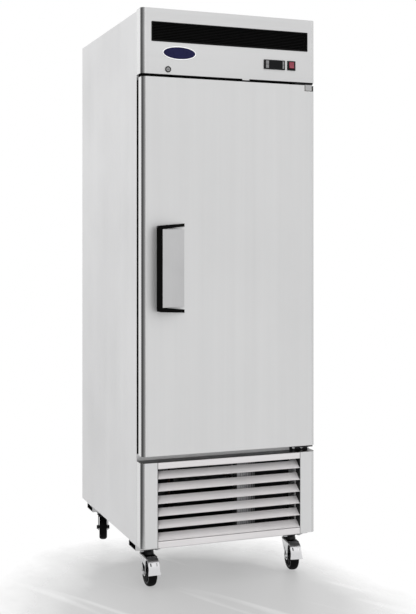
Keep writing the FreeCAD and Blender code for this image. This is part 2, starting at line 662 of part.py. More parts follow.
def hinge_brackets():
    """Two angle brackets on the steel face. The upper pin points down, the lower one up."""
    leg_y = FRAME_Y - 4
    low_plate = box(*BRACKET_X, 5, FRAME_Y, 474, 474 + PLATE_THICK)
    low_leg = box(*BRACKET_X, leg_y, FRAME_Y, BASE_TOP + SHEET, 474)
    collar = rod(7.5, (HINGE_X, HINGE_Y, 478), (HINGE_X, HINGE_Y, DOOR_BOTTOM + SHEET - FACE_GAP))
    low_pin = rod(PIN_RADIUS, (HINGE_X, HINGE_Y, 478), (HINGE_X, HINGE_Y, 478 + PIN_LENGTH))
    high_plate = box(*BRACKET_X, 5, FRAME_Y, BLOCK_TOP + 2, HEADER_BOTTOM - 3)
    high_leg = box(*BRACKET_X, leg_y, FRAME_Y, HEADER_BOTTOM - 3, HEADER_BOTTOM + 40)
    washer = rod(7.5, (HINGE_X, HINGE_Y, BLOCK_TOP + FACE_GAP), (HINGE_X, HINGE_Y, BLOCK_TOP + 2))
    pin_top = BLOCK_TOP + 2
    high_pin = rod(PIN_RADIUS, (HINGE_X, HINGE_Y, pin_top - PIN_LENGTH), (HINGE_X, HINGE_Y, pin_top))
    lower = fuse([low_plate, low_leg, collar, low_pin])
    upper = fuse([high_plate, high_leg, washer, high_pin])
    return Part.makeCompound([cut(s, bracket_bolt_shanks()) for s in (lower, upper)])


ARM_TIP = 11.0
ARM_ROOT = 16.0
TIP_PROUD = 2.0
BAR_BACK = -34.0
PLATE_SHEET = 1.5
HANDLE_EDGE = 3.0
HANDLE_CORNER = 14.0


def handle_plan():
    """The wedge seen from above: flat on the door, rising from its right tip to the bar."""
    return [(HANDLE_RIGHT, DOOR_FRONT), (HANDLE_RIGHT, DOOR_FRONT - TIP_PROUD),
            (HANDLE_LEFT + HANDLE_BAR, HANDLE_FRONT), (HANDLE_LEFT, HANDLE_FRONT),
            (HANDLE_LEFT, BAR_BACK), (HANDLE_FOOT, DOOR_FRONT)]


def handle_block(outline):
    """An (x, z) outline extruded along Y right through the handle."""
    corners = [Vector(x, HANDLE_FRONT - 1, z) for x, z in outline]
    face = Part.Face(Part.makePolygon(corners + corners[:1]))
    return face.extrude(Vector(0, DOOR_FRONT - HANDLE_FRONT + 2, 0))


def handle_frame():
    """Black bracket-shaped frame: a tapered cheek at each end and the upright grip bar."""
    low, high = HANDLE_LOW + 6.5, HANDLE_HIGH - 10
    inner_low, inner_high = low + ARM_ROOT - 2, high - ARM_ROOT + 5
    bar_right = HANDLE_LEFT + HANDLE_BAR
    wedge = prism_z(handle_plan(), HANDLE_LOW, HANDLE_HIGH)
    front_corner = edges_along(wedge, Vector(0, 0, 1),
                               lambda p: p.x < HANDLE_LEFT + EPS and p.y < BAR_BACK - 1)
    wedge = wedge.makeFillet(HANDLE_EDGE, front_corner)
    outline = handle_block([(HANDLE_LEFT, low), (HANDLE_RIGHT, HANDLE_LOW), (HANDLE_RIGHT, HANDLE_HIGH),
                            (HANDLE_LEFT, high)])
    corners = edges_along(outline, Vector(0, 1, 0), lambda p: p.x < bar_right)
    outline = outline.makeFillet(HANDLE_CORNER, corners)
    window = handle_block([(bar_right, inner_low), (HANDLE_RIGHT + 1, HANDLE_LOW + ARM_TIP),
                           (HANDLE_RIGHT + 1, HANDLE_HIGH - ARM_TIP), (bar_right, inner_high)])
    grip_gap = box(HANDLE_LEFT - 1, bar_right + 1, BAR_BACK, DOOR_FRONT + 1, inner_low, inner_high)
    return cut(wedge.common(outline), [window, grip_gap])


def handle_face_plate():
    """The sloping stainless plate between the cheeks, just under the frame's own slope."""
    left, right = HANDLE_LEFT + HANDLE_BAR + 0.2, HANDLE_RIGHT
    low, high = HANDLE_LOW + 20.7, HANDLE_HIGH - 21.2
    front_left = HANDLE_FRONT + 2.0
    plan = [(right, DOOR_FRONT), (right - 3, DOOR_FRONT - TIP_PROUD + 0.5), (left, front_left),
            (left, front_left + PLATE_SHEET), (right - 6, DOOR_FRONT)]
    return prism_z(plan, low, high)


# ---- casters ------------------------------------------------------------------------
RACE_RADIUS = 26.0
RACE_LOW = 119.0
RACE_HIGH = 130.0
KINGPIN_RADIUS = 6.0
CROWN_LOW, CROWN_HIGH = 106.0, 110.0
FORK_HALF = 18.0
FORK_THICK = 3.0
BRAKE_PIN_RADIUS = 3.0
BRAKE_PIN = (-47.0, 105.0)
BOLT_REACH_X, BOLT_REACH_Y = 28.0, 26.0


def caster_place(shape, name):
    """Turns a caster piece that was drawn about the swivel axis and puts it under its channel."""
    x, y, heading, _ = CASTERS[name]
    shape = shape.copy()
    shape.rotate(Vector(0, 0, 0), Vector(0, 0, 1), -heading)
    shape.translate(Vector(x, y, 0))
    return shape


def caster_plates():
    """The fixed halves: a mounting plate, the upper race and the kingpin with its riveted end."""
    plates = []
    for x, y, _, _ in CASTERS.values():
        plate = box(x - 38, x + 38, y - 36, y + 36, RACE_HIGH, CASTER_HEIGHT)
        race = Part.makeCone(RACE_RADIUS - 3, RACE_RADIUS, RACE_HIGH - RACE_LOW, Vector(x, y, RACE_LOW))
        pin = rod(KINGPIN_RADIUS, (x, y, CROWN_LOW - 2), (x, y, RACE_LOW))
        head = rod(9, (x, y, CROWN_LOW - 3), (x, y, CROWN_LOW - FACE_GAP))
        plates.append(cut(fuse([plate, race, pin, head]), caster_bolt_shanks()))
    return Part.makeCompound(plates)


def fork_leg(side, braked):
    """One side of the fork: a tapered leg from the crown to the axle boss."""
    axle = (-CASTER_TRAIL, WHEEL_RADIUS)
    outline = [(-44, CROWN_HIGH), (24, CROWN_HIGH), (24, 98), (-18, 44), (-42, 44), (-46, 90)]
    low, high = (FORK_HALF, FORK_HALF + FORK_THICK) if side > 0 else (-FORK_HALF - FORK_THICK, -FORK_HALF)
    pieces = [prism_x(outline, low, high), rod(13, (low, *axle), (high, *axle))]
    if braked:
        pieces.append(prism_x([(-40, CROWN_HIGH), (-54, CROWN_HIGH), (-54, 98), (-40, 92)], low, high))
    bores = [rod(AXLE_RADIUS, (low - 1, *axle), (high + 1, *axle))]
    return cut(fuse(pieces), bores)


def caster_fork(braked):
    """Crown, lower race, two legs, and the axle bolt with its nut as separate solids."""
    crown = box(-FORK_HALF - FORK_THICK, FORK_HALF + FORK_THICK, -36, 24, CROWN_LOW, CROWN_HIGH)
    race_tall = RACE_LOW - FACE_GAP - CROWN_HIGH
    race = Part.makeCone(RACE_RADIUS - 1, RACE_RADIUS - 3, race_tall, Vector(0, 0, CROWN_HIGH))
    pieces = [crown, race, fork_leg(-1, braked), fork_leg(1, braked)]
    if braked:
        reach = FORK_HALF + FORK_THICK
        pieces.append(rod(BRAKE_PIN_RADIUS, (-reach, *BRAKE_PIN), (reach, *BRAKE_PIN)))
    bore = rod(KINGPIN_RADIUS + RUNNING_GAP, (0, 0, CROWN_LOW - 1), (0, 0, RACE_LOW + 1))
    body = fuse(pieces).cut(bore)
    outer = FORK_HALF + FORK_THICK
    axle = (-CASTER_TRAIL, WHEEL_RADIUS)
    bolt = hex_bolt(14, 5, AXLE_RADIUS, (-outer, *axle), (-1, 0, 0), 2 * outer)
    nut = hex_bolt(14, 6, AXLE_RADIUS, (outer, *axle), (1, 0, 0), 1).cut(bolt)
    nut = nut.cut(body)
    return Part.makeCompound([body, bolt, nut])


def caster_wheel():
    """Hub and tyre, each a solid of revolution about the axle."""
    half = WHEEL_WIDTH / 2
    hub_radius = WHEEL_RADIUS - TYRE_THICK
    bore = AXLE_RADIUS + RUNNING_GAP
    centre = Vector(0, -CASTER_TRAIL, WHEEL_RADIUS)
    hub_half = FORK_HALF - 0.5
    hub = [(bore, -hub_half), (11, -hub_half), (11, -half + 6), (hub_radius - 8, -half + 6),
           (hub_radius - 6, -half + 1), (hub_radius, -half + 1)]
    hub += [(r, -w) for r, w in reversed(hub)]
    corners = [centre + Vector(w, 0, r) for r, w in hub]
    hub_face = Part.Face(Part.makePolygon(corners + corners[:1]))
    hub_solid = hub_face.revolve(centre, Vector(1, 0, 0), 360)
    tyre = Part.makeCylinder(WHEEL_RADIUS, WHEEL_WIDTH, centre - Vector(half, 0, 0), Vector(1, 0, 0))
    tyre = tyre.makeFillet(TYRE_ROUNDING, [e for e in tyre.Edges if isinstance(e.Curve, Part.Circle)])
    core = Part.makeCylinder(hub_radius, WHEEL_WIDTH + 2, centre - Vector(half + 1, 0, 0), Vector(1, 0, 0))
    return Part.makeCompound([hub_solid, tyre.cut(core)])


PEDAL_HALF = 21.0
PEDAL_THROAT = 17.0
PEDAL_FLARE = 24.0
FLARE_HIGH, FLARE_LOW = 74.0, 54.0
PEDAL_SLOTS = (-11.0, 11.0)


def caster_brake():
    """The stamped pedal in front of the tyre, hung on its pin between the fork's ears."""
    outer = [(-47, 108.6), (-60, 107), (-74, 98), (-84, 82), (-86, FLARE_HIGH), (-91, FLARE_LOW)]
    inner = [(-47, 106.6), (-59.5, 105), (-72.5, 96.4), (-82, 81.2), (-83.9, FLARE_HIGH), (-88.9, FLARE_LOW)]
    plate = prism_x(outer + inner[::-1], -PEDAL_HALF, PEDAL_HALF)
    for side in (-1, 1):
        low, high = sorted((side * PEDAL_THROAT, side * (PEDAL_HALF + 1)))
        plate = plate.cut(box(low, high, -58, -40, 90, 120))
    outline = [(-PEDAL_HALF, FLARE_HIGH), (PEDAL_HALF, FLARE_HIGH),
               (PEDAL_FLARE, FLARE_LOW), (-PEDAL_FLARE, FLARE_LOW)]
    corners = [Vector(x, -95, z) for x, z in outline]
    flare = Part.Face(Part.makePolygon(corners + corners[:1])).extrude(Vector(0, 15, 0))
    sheet = prism_x(outer[-2:] + inner[:-3:-1], -PEDAL_FLARE - 1, PEDAL_FLARE + 1)
    barrel = rod(BRAKE_PIN_RADIUS + 2, (-PEDAL_THROAT, *BRAKE_PIN), (PEDAL_THROAT, *BRAKE_PIN))
    bore = rod(BRAKE_PIN_RADIUS + RUNNING_GAP, (-PEDAL_HALF, *BRAKE_PIN), (PEDAL_HALF, *BRAKE_PIN))
    slots = [box(x - 2, x + 2, -95, -60, 84, 94) for x in PEDAL_SLOTS]
    return cut(fuse([plate, flare.common(sheet), barrel]), [bore] + slots)


# ---- fasteners ----------------------------------------------------------------------
COMPRESSOR_X, COMPRESSOR_Y = -150.0, 430.0
COMPRESSOR_FOOT = 92.0


def side_screws():
    """Countersunk screws, flush in the left side of the header."""
    screws = []
    for z in SIDE_SCREW_LEVELS:
        head = Part.makeCone(3.6, 2.0, SHEET, Vector(-HALF, SIDE_SCREW_Y, z), Vector(1, 0, 0))
        screws.append(fuse([head, rod(2, (-HALF + SHEET, SIDE_SCREW_Y, z), (-HALF + 8, SIDE_SCREW_Y, z))]))
    return screws


def back_screw_places():
    return [(x, z) for x in (-HALF + 10, HALF - 10) for z in (180.0, 640.0, 1110.0, 1580.0, 2040.0)]


def back_screw_shanks():
    return [rod(2, (x, BACK_Y - 1, z), (x, DEPTH, z)) for x, z in back_screw_places()]


def bracket_bolt_places():
    return [(x, z) for x in (275.0, 308.0) for z in (HEADER_BOTTOM + 14, HEADER_BOTTOM + 29)]


def bracket_bolt_shanks():
    upper = [rod(3, (x, FRAME_Y - 5, z), (x, FRAME_Y + SHEET + 8, z)) for x, z in bracket_bolt_places()]
    lower = [rod(3, (x, FRAME_Y - 5, 466), (x, FRAME_Y + SHEET + 8, 466)) for x in (275.0, 308.0)]
    return upper + lower


def caster_bolt_places():
    return [(x + dx, y + dy) for x, y, _, _ in CASTERS.values()
            for dx in (-BOLT_REACH_X, BOLT_REACH_X) for dy in (-BOLT_REACH_Y, BOLT_REACH_Y)]


def caster_bolt_shanks():
    top = CASTER_HEIGHT + CHANNEL_WALL
    return [rod(4, (x, y, RACE_HIGH - 1), (x, y, top)) for x, y in caster_bolt_places()]


def compressor_bolt_places():
    return [(COMPRESSOR_X + dx, COMPRESSOR_Y + dy)
            for dx in (-COMPRESSOR_FOOT, COMPRESSOR_FOOT) for dy in (-60.0, 60.0)]


def compressor_bolt_shanks():
    return [rod(4, (x, y, BODY_BOTTOM - 1), (x, y, BODY_BOTTOM + 12)) for x, y in compressor_bolt_places()]


def fasteners():
    """Every screw and bolt that shows, each as its own solid."""
    found = side_screws() + [mirrored(s) for s in side_screws()]
    for x, z in back_screw_places():
        found.append(pan_screw(4, DEPTH - BACK_Y - SHEET, 2, (x, BACK_Y + SHEET, z), (0, 1, 0), SHEET))
    for x, z in bracket_bolt_places() + [(275.0, 466.0), (308.0, 466.0)]:
        found.append(hex_bolt(10, 4, 3, (x, FRAME_Y - 4, z), (0, -1, 0), 4 + SHEET))
    for x, y in caster_bolt_places():
        grip = CASTER_HEIGHT - RACE_HIGH + CHANNEL_WALL
        found.append(hex_bolt(12, 5, 4, (x, y, RACE_HIGH), (0, 0, -1), grip))
    for x, y in compressor_bolt_places():
        found.append(hex_bolt(13, 5, 4, (x, y, BODY_BOTTOM + 12), (0, 0, 1), 12))
    return Part.makeCompound(found)


# ---- inside the cabinet -------------------------------------------------------------
COVER_X = 250.0
COVER_Y = (330.0, 700.0)
COVER_LOW = 1850.0
EVAPORATOR_FAN_Z = 1925.0
FAN_RADIUS = 60.0
FAN_HUB = 16.0


def evaporator_cover():
    """The sheet housing hung from the ceiling, with the fan's opening in front and slots behind."""
    top = LINER_CEILING - 0.1
    outer = box(-COVER_X, COVER_X, *COVER_Y, COVER_LOW, top)
    inner = box(-COVER_X + SHEET, COVER_X - SHEET, COVER_Y[0] + SHEET, COVER_Y[1] - SHEET,
                COVER_LOW + SHEET, top + 1)
    front = COVER_Y[0]
    opening = rod(FAN_RADIUS + 6, (0, front - 1, EVAPORATOR_FAN_Z), (0, front + 3, EVAPORATOR_FAN_Z))
    slots = [box(-220, 190, COVER_Y[1] - 3, COVER_Y[1] + 1, z, z + 8) for z in range(1865, 1985, 18)]
    return cut(outer, [inner, opening, pipe_hole()] + slots)


def pipe_hole():
    return box(DUCT_X[0], DUCT_X[1], COVER_Y[1] - 5, LINER_BACK + 2, *DUCT_TURN_Z)


def evaporator_coil():
    """A finned block with end plates and the return bends of its tubes."""
    half = 205.0
    block = box(-half, half, 450, 640, 1868, 1990)
    ends = [box(x, x + 1.5, 444, 646, 1862, 1996) for x in (-half - 1.5, half)]
    bends = []
    for row in range(3):
        for column in range(3):
            y = 475 + 60 * column
            z = 1890 + 38 * row
            for side in (-1, 1):
                ring = Part.makeTorus(12, 4.5, Vector(side * (half + 1.5), y + 12, z), Vector(0, 0, 1))
                keep = box(half + 1.5, half + 20, 440, 650, 1860, 2000)
                bends.append(ring.common(keep if side > 0 else mirrored(keep)))
    return Part.makeCompound([fuse([block] + ends)] + bends)


SHAFT_RADIUS = 3.0
EVAPORATOR_FAN_Y = 336.0
CONDENSER_FAN_X, CONDENSER_FAN_Y, CONDENSER_FAN_Z = 160.0, 118.0, 305.0
CONDENSER_FAN_RADIUS = 100.0
FAN_DEPTH = 14.0
FAN_BLADES = 5
BLADE_PITCH = 22.0


def fan(x, y, z, radius):
    """Five pitched blades on a hub, turning about a line along Y."""
    hub = rod(FAN_HUB, (x, y, z), (x, y + FAN_DEPTH, z))
    ring = rod(radius, (x, y, z), (x, y + FAN_DEPTH, z))
    blades = []
    for i in range(FAN_BLADES):
        blade = box(-radius * 0.34, radius * 0.34, -0.8, 0.8, FAN_HUB - 3, radius + 5)
        blade.rotate(Vector(0, 0, 0), Vector(0, 0, 1), BLADE_PITCH)
        blade.rotate(Vector(0, 0, 0), Vector(0, 1, 0), 360 / FAN_BLADES * i)
        blade.translate(Vector(x, y + FAN_DEPTH / 2, z))
        blades.append(blade.common(ring))
    bore = rod(SHAFT_RADIUS + RUNNING_GAP, (x, y + 3, z), (x, y + FAN_DEPTH + 1, z))
    return fuse([hub] + blades).cut(bore)


def evaporator_fan():
    return fan(0, EVAPORATOR_FAN_Y, EVAPORATOR_FAN_Z, FAN_RADIUS)


def condenser_fan():
    return fan(CONDENSER_FAN_X, CONDENSER_FAN_Y, CONDENSER_FAN_Z, CONDENSER_FAN_RADIUS)


def motor(x, y, z, radius, length):
    """A fan motor: can, shaft and end boss, with the shaft pointing along -Y."""
    can = rod(radius, (x, y, z), (x, y + length, z))
    boss = rod(radius * 0.45, (x, y - 3, z), (x, y, z))
    shaft = rod(SHAFT_RADIUS, (x, y - 14, z), (x, y, z))
    return [can, boss, shaft]


def fan_motors():
    """Both fan motors, each with the strap that holds it."""
    y = EVAPORATOR_FAN_Y + 18
    strap = box(-12, 12, y + 30, y + 33, COVER_LOW + SHEET, LINER_CEILING - 0.1)
    upper = fuse(motor(0, y, EVAPORATOR_FAN_Z, 26, 45) + [strap])
    y = CONDENSER_FAN_Y + 18
    x, z = CONDENSER_FAN_X, CONDENSER_FAN_Z
    stand = box(x - 14, x + 14, y + 32, y + 35, BODY_BOTTOM + 1.5, z)
    foot = box(x - 14, x + 14, y + 32, y + 70, BODY_BOTTOM + 1.5, BODY_BOTTOM + 4.5)
    lower = fuse(motor(x, y, z, 30, 55) + [stand, foot])
    return Part.makeCompound([upper, lower])


def interior_light():
    """A lamp housing on the ceiling just inside the door."""
    base = box(-70, 70, 120, 170, LINER_CEILING - 8, LINER_CEILING)
    lens = box(-62, 62, 126, 164, LINER_CEILING - 30, LINER_CEILING - 8)
    lens = lens.makeFillet(8, [e for e in lens.Edges if e.BoundBox.ZMax < LINER_CEILING - 29.9])
    return fuse([base, lens])


def shelf_supports():
    """Four slotted standards on the liner's side walls, and the clips hooked into them."""
    solids = []
    bottom, top = 560.0, 1760.0
    wide = 9.0
    for y in STANDARD_Y:
        strip = box(-LINER_HALF, -LINER_HALF + STANDARD_PROUD, y - wide, y + wide, bottom, top)
        groove = box(-LINER_HALF - 1, -LINER_HALF + STANDARD_PROUD - 2, y - wide + 2, y + wide - 2,
                     bottom - 1, top + 1)
        slots = [box(-LINER_HALF, -LINER_HALF + STANDARD_PROUD + 1, y - 4, y + 4, z, z + 3)
                 for z in range(int(bottom) + 10, int(top) - 5, 30)]
        strip = cut(strip, [groove] + slots)
        solids += [strip, mirrored(strip)]
        for level in SHELF_LEVELS.values():
            x = -LINER_HALF + STANDARD_PROUD
            outline = [(x, level - 22), (x + 1.6, level - 22), (x + 1.6, level - 2), (x + 14, level - 2),
                       (x + 14, level), (x, level)]
            corners = [Vector(px, y - 10, pz) for px, pz in outline]
            clip = Part.Face(Part.makePolygon(corners + corners[:1])).extrude(Vector(0, 20, 0))
            solids += [clip, mirrored(clip)]
    return Part.makeCompound(solids)


def wire_shelf(level):
    """A welded wire shelf: a rim, three cross bars and fine wires from front to back."""
    heavy, fine = 3.0, 1.6
    z = level + heavy
    left, right = -SHELF_HALF + heavy, SHELF_HALF - heavy
    front, back = SHELF_FRONT + heavy, SHELF_BACK - heavy
    bars = [
        rod(heavy, (left, front, z), (right, front, z)),
        rod(heavy, (left, back, z), (right, back, z)),
        rod(heavy, (left, front, z), (left, back, z)),
        rod(heavy, (right, front, z), (right, back, z)),
        rod(heavy, (left, (front + back) / 2, z), (right, (front + back) / 2, z)),
    ]
    bars += [Part.makeSphere(heavy, Vector(x, y, z)) for x in (left, right) for y in (front, back)]
    count = 19
    for i in range(1, count):
        x = left + (right - left) * i / count
        bars.append(rod(fine, (x, front, z + heavy), (x, back, z + heavy)))
    return fuse(bars)


# ---- machine bay --------------------------------------------------------------------
def compressor():
    """A welded steel can on a foot plate, with a terminal box and three stubs."""
    x, y, base = COMPRESSOR_X, COMPRESSOR_Y, BODY_BOTTOM + 12
    low = base - 10.4
    plate = box(x - 108, x + 108, y - 76, y + 76, base - 3, base)
    can = Part.makeCylinder(80, 164, Vector(x, y, base))
    rim = [edge for edge in can.Edges if edge.BoundBox.ZMin > base + 163]
    can = can.makeFillet(44, rim)
    seam = Part.makeCylinder(84, 6, Vector(x, y, base + 70))
    terminals = box(x - 30, x + 30, y + 60, y + 100, base + 30, base + 90)
    stubs = [rod(5, (x + 60, y, base + 95), (x + 98, y, base + 95)),
             rod(5, (x, y - 60, base + 60), (x, y - 98, base + 60))]
    grommets = [Part.makeCylinder(12, base - 3 - low, Vector(px, py, low))
                for px, py in compressor_bolt_places()]
    body = fuse([plate, can, seam, terminals] + stubs + grommets)
    return cut(body, compressor_bolt_shanks())


CONDENSER_X = (53.0, 268.0)
CONDENSER_Y = (66.0, 106.0)
CONDENSER_Z = (175.0, 440.0)


def condenser():
    """The finned block behind the louvres, in its end plates."""
    block = box(CONDENSER_X[0] + 1.5, CONDENSER_X[1] - 1.5, *CONDENSER_Y, *CONDENSER_Z)
    ends = [box(x, x + 1.5, CONDENSER_Y[0] - 2, CONDENSER_Y[1] + 6, BODY_BOTTOM + 1.5, CONDENSER_Z[1] + 4)
            for x in (CONDENSER_X[0], CONDENSER_X[1] - 1.5)]
    return fuse([block] + ends)


def refrigerant_pipes():
    """The discharge line to the condenser, and the suction line up to the evaporator."""
    x, y, base = COMPRESSOR_X, COMPRESSOR_Y, BODY_BOTTOM + 12
    discharge = pipe([(x, y - 98, base + 60), (x, 250, base + 60), (x, 250, 400), (x, 86, 400),
                      (CONDENSER_X[0], 86, 400)], 18, 4)
    duct_x = (DUCT_X[0] + DUCT_X[1]) / 2
    duct_y = (DUCT_Y[0] + DUCT_Y[1]) / 2
    turn_z = (DUCT_TURN_Z[0] + DUCT_TURN_Z[1]) / 2
    suction = pipe([(x + 98, y, base + 95), (duct_x, y, base + 95), (duct_x, duct_y, base + 95),
                    (duct_x, duct_y, turn_z), (duct_x, 660, turn_z)], 12, 5)
    return Part.makeCompound([discharge, suction])


def electrical_box():
    """The wiring box on the back wall of the bay, with the gland for the power cord."""
    shell = box(-330, -200, 690, BACK_Y - SHEET, 200, 300)
    stub = rod(GLAND_RADIUS, (GLAND_X, BACK_Y - SHEET, GLAND_Z), (GLAND_X, DEPTH, GLAND_Z))
    bore = rod(CORD_RADIUS, (GLAND_X, BACK_Y - 40, GLAND_Z), (GLAND_X, DEPTH + 1, GLAND_Z))
    return fuse([shell, stub]).cut(bore)


# ---- all nodes ----------------------------------------------------------------------
def build():
    left = side_panel()
    parts = {
        "side_panel_left": left,
        "side_panel_right": mirrored(left),
        "top_panel": top_panel(),
        "back_panel": back_panel(),
        "cabinet_insulation": cabinet_insulation(),
        "interior_liner": interior_liner(),
        "front_frame": front_frame(),
        "breaker_strips": breaker_strips(),
        "bay_ceiling_sill": bay_ceiling_sill(),
        "base_pan": base_pan(),
        "cross_channels": cross_channels(),
        "base_corner_posts": base_corner_posts(),
        "front_grille": front_grille(),
        "header_panel": header_panel(),
        "header_vent_grille": header_vent_grille(),
        "badge_plate": badge_plate(),
        "controller_housing": controller_housing(),
        "controller_display": controller_display(),
        "light_switch_body": light_switch_body(),
        "light_switch_rocker": light_switch_rocker(),
        "lock_body": lock_body(),
        "lock_cylinder": lock_cylinder(),
        "door_outer_pan": door_outer_pan(),
        "door_insulation": door_insulation(),
        "door_inner_panel": door_inner_panel(),
        "door_gasket": door_gasket(),
        "door_hinge_blocks": door_hinge_blocks(),
        "hinge_brackets": hinge_brackets(),
        "handle_frame": handle_frame(),
        "handle_face_plate": handle_face_plate(),
        "caster_plates": caster_plates(),
        "fasteners": fasteners(),
        "evaporator_cover": evaporator_cover(),
        "evaporator_coil": evaporator_coil(),
        "evaporator_fan": evaporator_fan(),
        "fan_motors": fan_motors(),
        "interior_light": interior_light(),
        "shelf_supports": shelf_supports(),
        "compressor": compressor(),
        "condenser": condenser(),
        "condenser_fan": condenser_fan(),
        "refrigerant_pipes": refrigerant_pipes(),
        "electrical_box": electrical_box(),
    }
    for name, (xs, zs) in key_places().items():
        parts[name] = controller_key(xs, zs)
    for name, level in SHELF_LEVELS.items():
        parts[name] = wire_shelf(level)
    for name, (_, _, _, braked) in CASTERS.items():
        parts["caster_fork_" + name] = caster_place(caster_fork(braked), name)
        parts["caster_wheel_" + name] = caster_place(caster_wheel(), name)
        if braked:
            parts["caster_brake_" + name] = caster_place(caster_brake(), name)
    return parts


os.makedirs("parts", exist_ok=True)
for node, solid in build().items():
    save(node, solid)
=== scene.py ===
import json
import math

import bmesh
import bpy
from mathutils import Matrix, Vector

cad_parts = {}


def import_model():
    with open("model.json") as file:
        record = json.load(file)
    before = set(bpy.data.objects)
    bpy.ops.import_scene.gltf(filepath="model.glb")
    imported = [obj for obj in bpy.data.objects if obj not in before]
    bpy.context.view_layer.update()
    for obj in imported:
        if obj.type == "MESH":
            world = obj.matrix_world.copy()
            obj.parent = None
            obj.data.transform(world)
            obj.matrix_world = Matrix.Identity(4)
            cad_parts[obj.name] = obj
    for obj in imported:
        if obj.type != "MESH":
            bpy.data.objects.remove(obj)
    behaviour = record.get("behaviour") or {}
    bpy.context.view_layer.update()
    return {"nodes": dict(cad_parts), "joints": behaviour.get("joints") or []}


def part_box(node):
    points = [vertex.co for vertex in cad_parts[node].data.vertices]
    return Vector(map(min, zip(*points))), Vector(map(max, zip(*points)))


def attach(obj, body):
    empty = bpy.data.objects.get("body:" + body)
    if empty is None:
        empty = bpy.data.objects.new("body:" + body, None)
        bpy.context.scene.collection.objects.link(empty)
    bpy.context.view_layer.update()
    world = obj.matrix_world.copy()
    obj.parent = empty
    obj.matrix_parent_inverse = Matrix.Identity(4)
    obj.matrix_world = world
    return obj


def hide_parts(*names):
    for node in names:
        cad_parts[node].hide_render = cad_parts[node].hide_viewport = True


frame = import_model()

# Lengths below are in millimetres, x from the middle plane, y back from the header's
# front face and z up from the floor. at() puts such a place in the row frame.
MM = 0.001
FACE_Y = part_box("header_panel")[0].y


def at(x, y, z):
    return Vector((x * MM, y * MM + FACE_Y, z * MM))


def limits(node):
    """The box of a CAD node as x, y and z ranges in millimetres."""
    low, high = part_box(node)
    return ((low.x / MM, high.x / MM),
            ((low.y - FACE_Y) / MM, (high.y - FACE_Y) / MM),
            (low.z / MM, high.z / MM))


# ---- materials ----------------------------------------------------------------------
def link(tree, start, end):
    tree.links.new(start, end)


def noise(tree, coords, scale, detail, seed):
    """A noise texture in the object's own metres, stretched by a scale along each axis."""
    stretch = tree.nodes.new("ShaderNodeMapping")
    stretch.inputs["Scale"].default_value = scale
    stretch.inputs["Location"].default_value = (seed, 2 * seed, 3 * seed)
    link(tree, coords, stretch.inputs["Vector"])
    node = tree.nodes.new("ShaderNodeTexNoise")
    node.inputs["Scale"].default_value = 1.0
    node.inputs["Detail"].default_value = detail
    node.inputs["Roughness"].default_value = 0.6
    link(tree, stretch.outputs["Vector"], node.inputs["Vector"])
    return node.outputs["Fac"]


def spread(tree, value, low, high, from_low=0.3, from_high=0.7):
    """The value, which runs between two numbers, carried over to two others."""
    node = tree.nodes.new("ShaderNodeMapRange")
    node.inputs["From Min"].default_value = from_low
    node.inputs["From Max"].default_value = from_high
    node.inputs["To Min"].default_value = low
    node.inputs["To Max"].default_value = high
    link(tree, value, node.inputs["Value"])
    return node.outputs["Result"]


def arithmetic(tree, operation, first, second):
    node = tree.nodes.new("ShaderNodeMath")
    node.operation = operation
    for socket, value in zip(node.inputs, (first, second)):
        if isinstance(value, float):
            socket.default_value = value
        else:
            link(tree, value, socket)
    return node.outputs["Value"]


def tinted(tree, colour, factor):
    """The colour multiplied by a factor that varies over the surface."""
    node = tree.nodes.new("ShaderNodeVectorMath")
    node.operation = "SCALE"
    node.inputs[0].default_value = colour
    link(tree, factor, node.inputs["Scale"])
    return node.outputs["Vector"]


# How much of a brushed flat face mirrors, the rest being scattered by its scratches.
FLAT_METAL = 0.35
# Roughness of a rolled corner as a part of the flat sheet's, and how wide the change is, in metres.
ROLLED_ROUGH = 0.42
ROLL_BLEND = 0.004


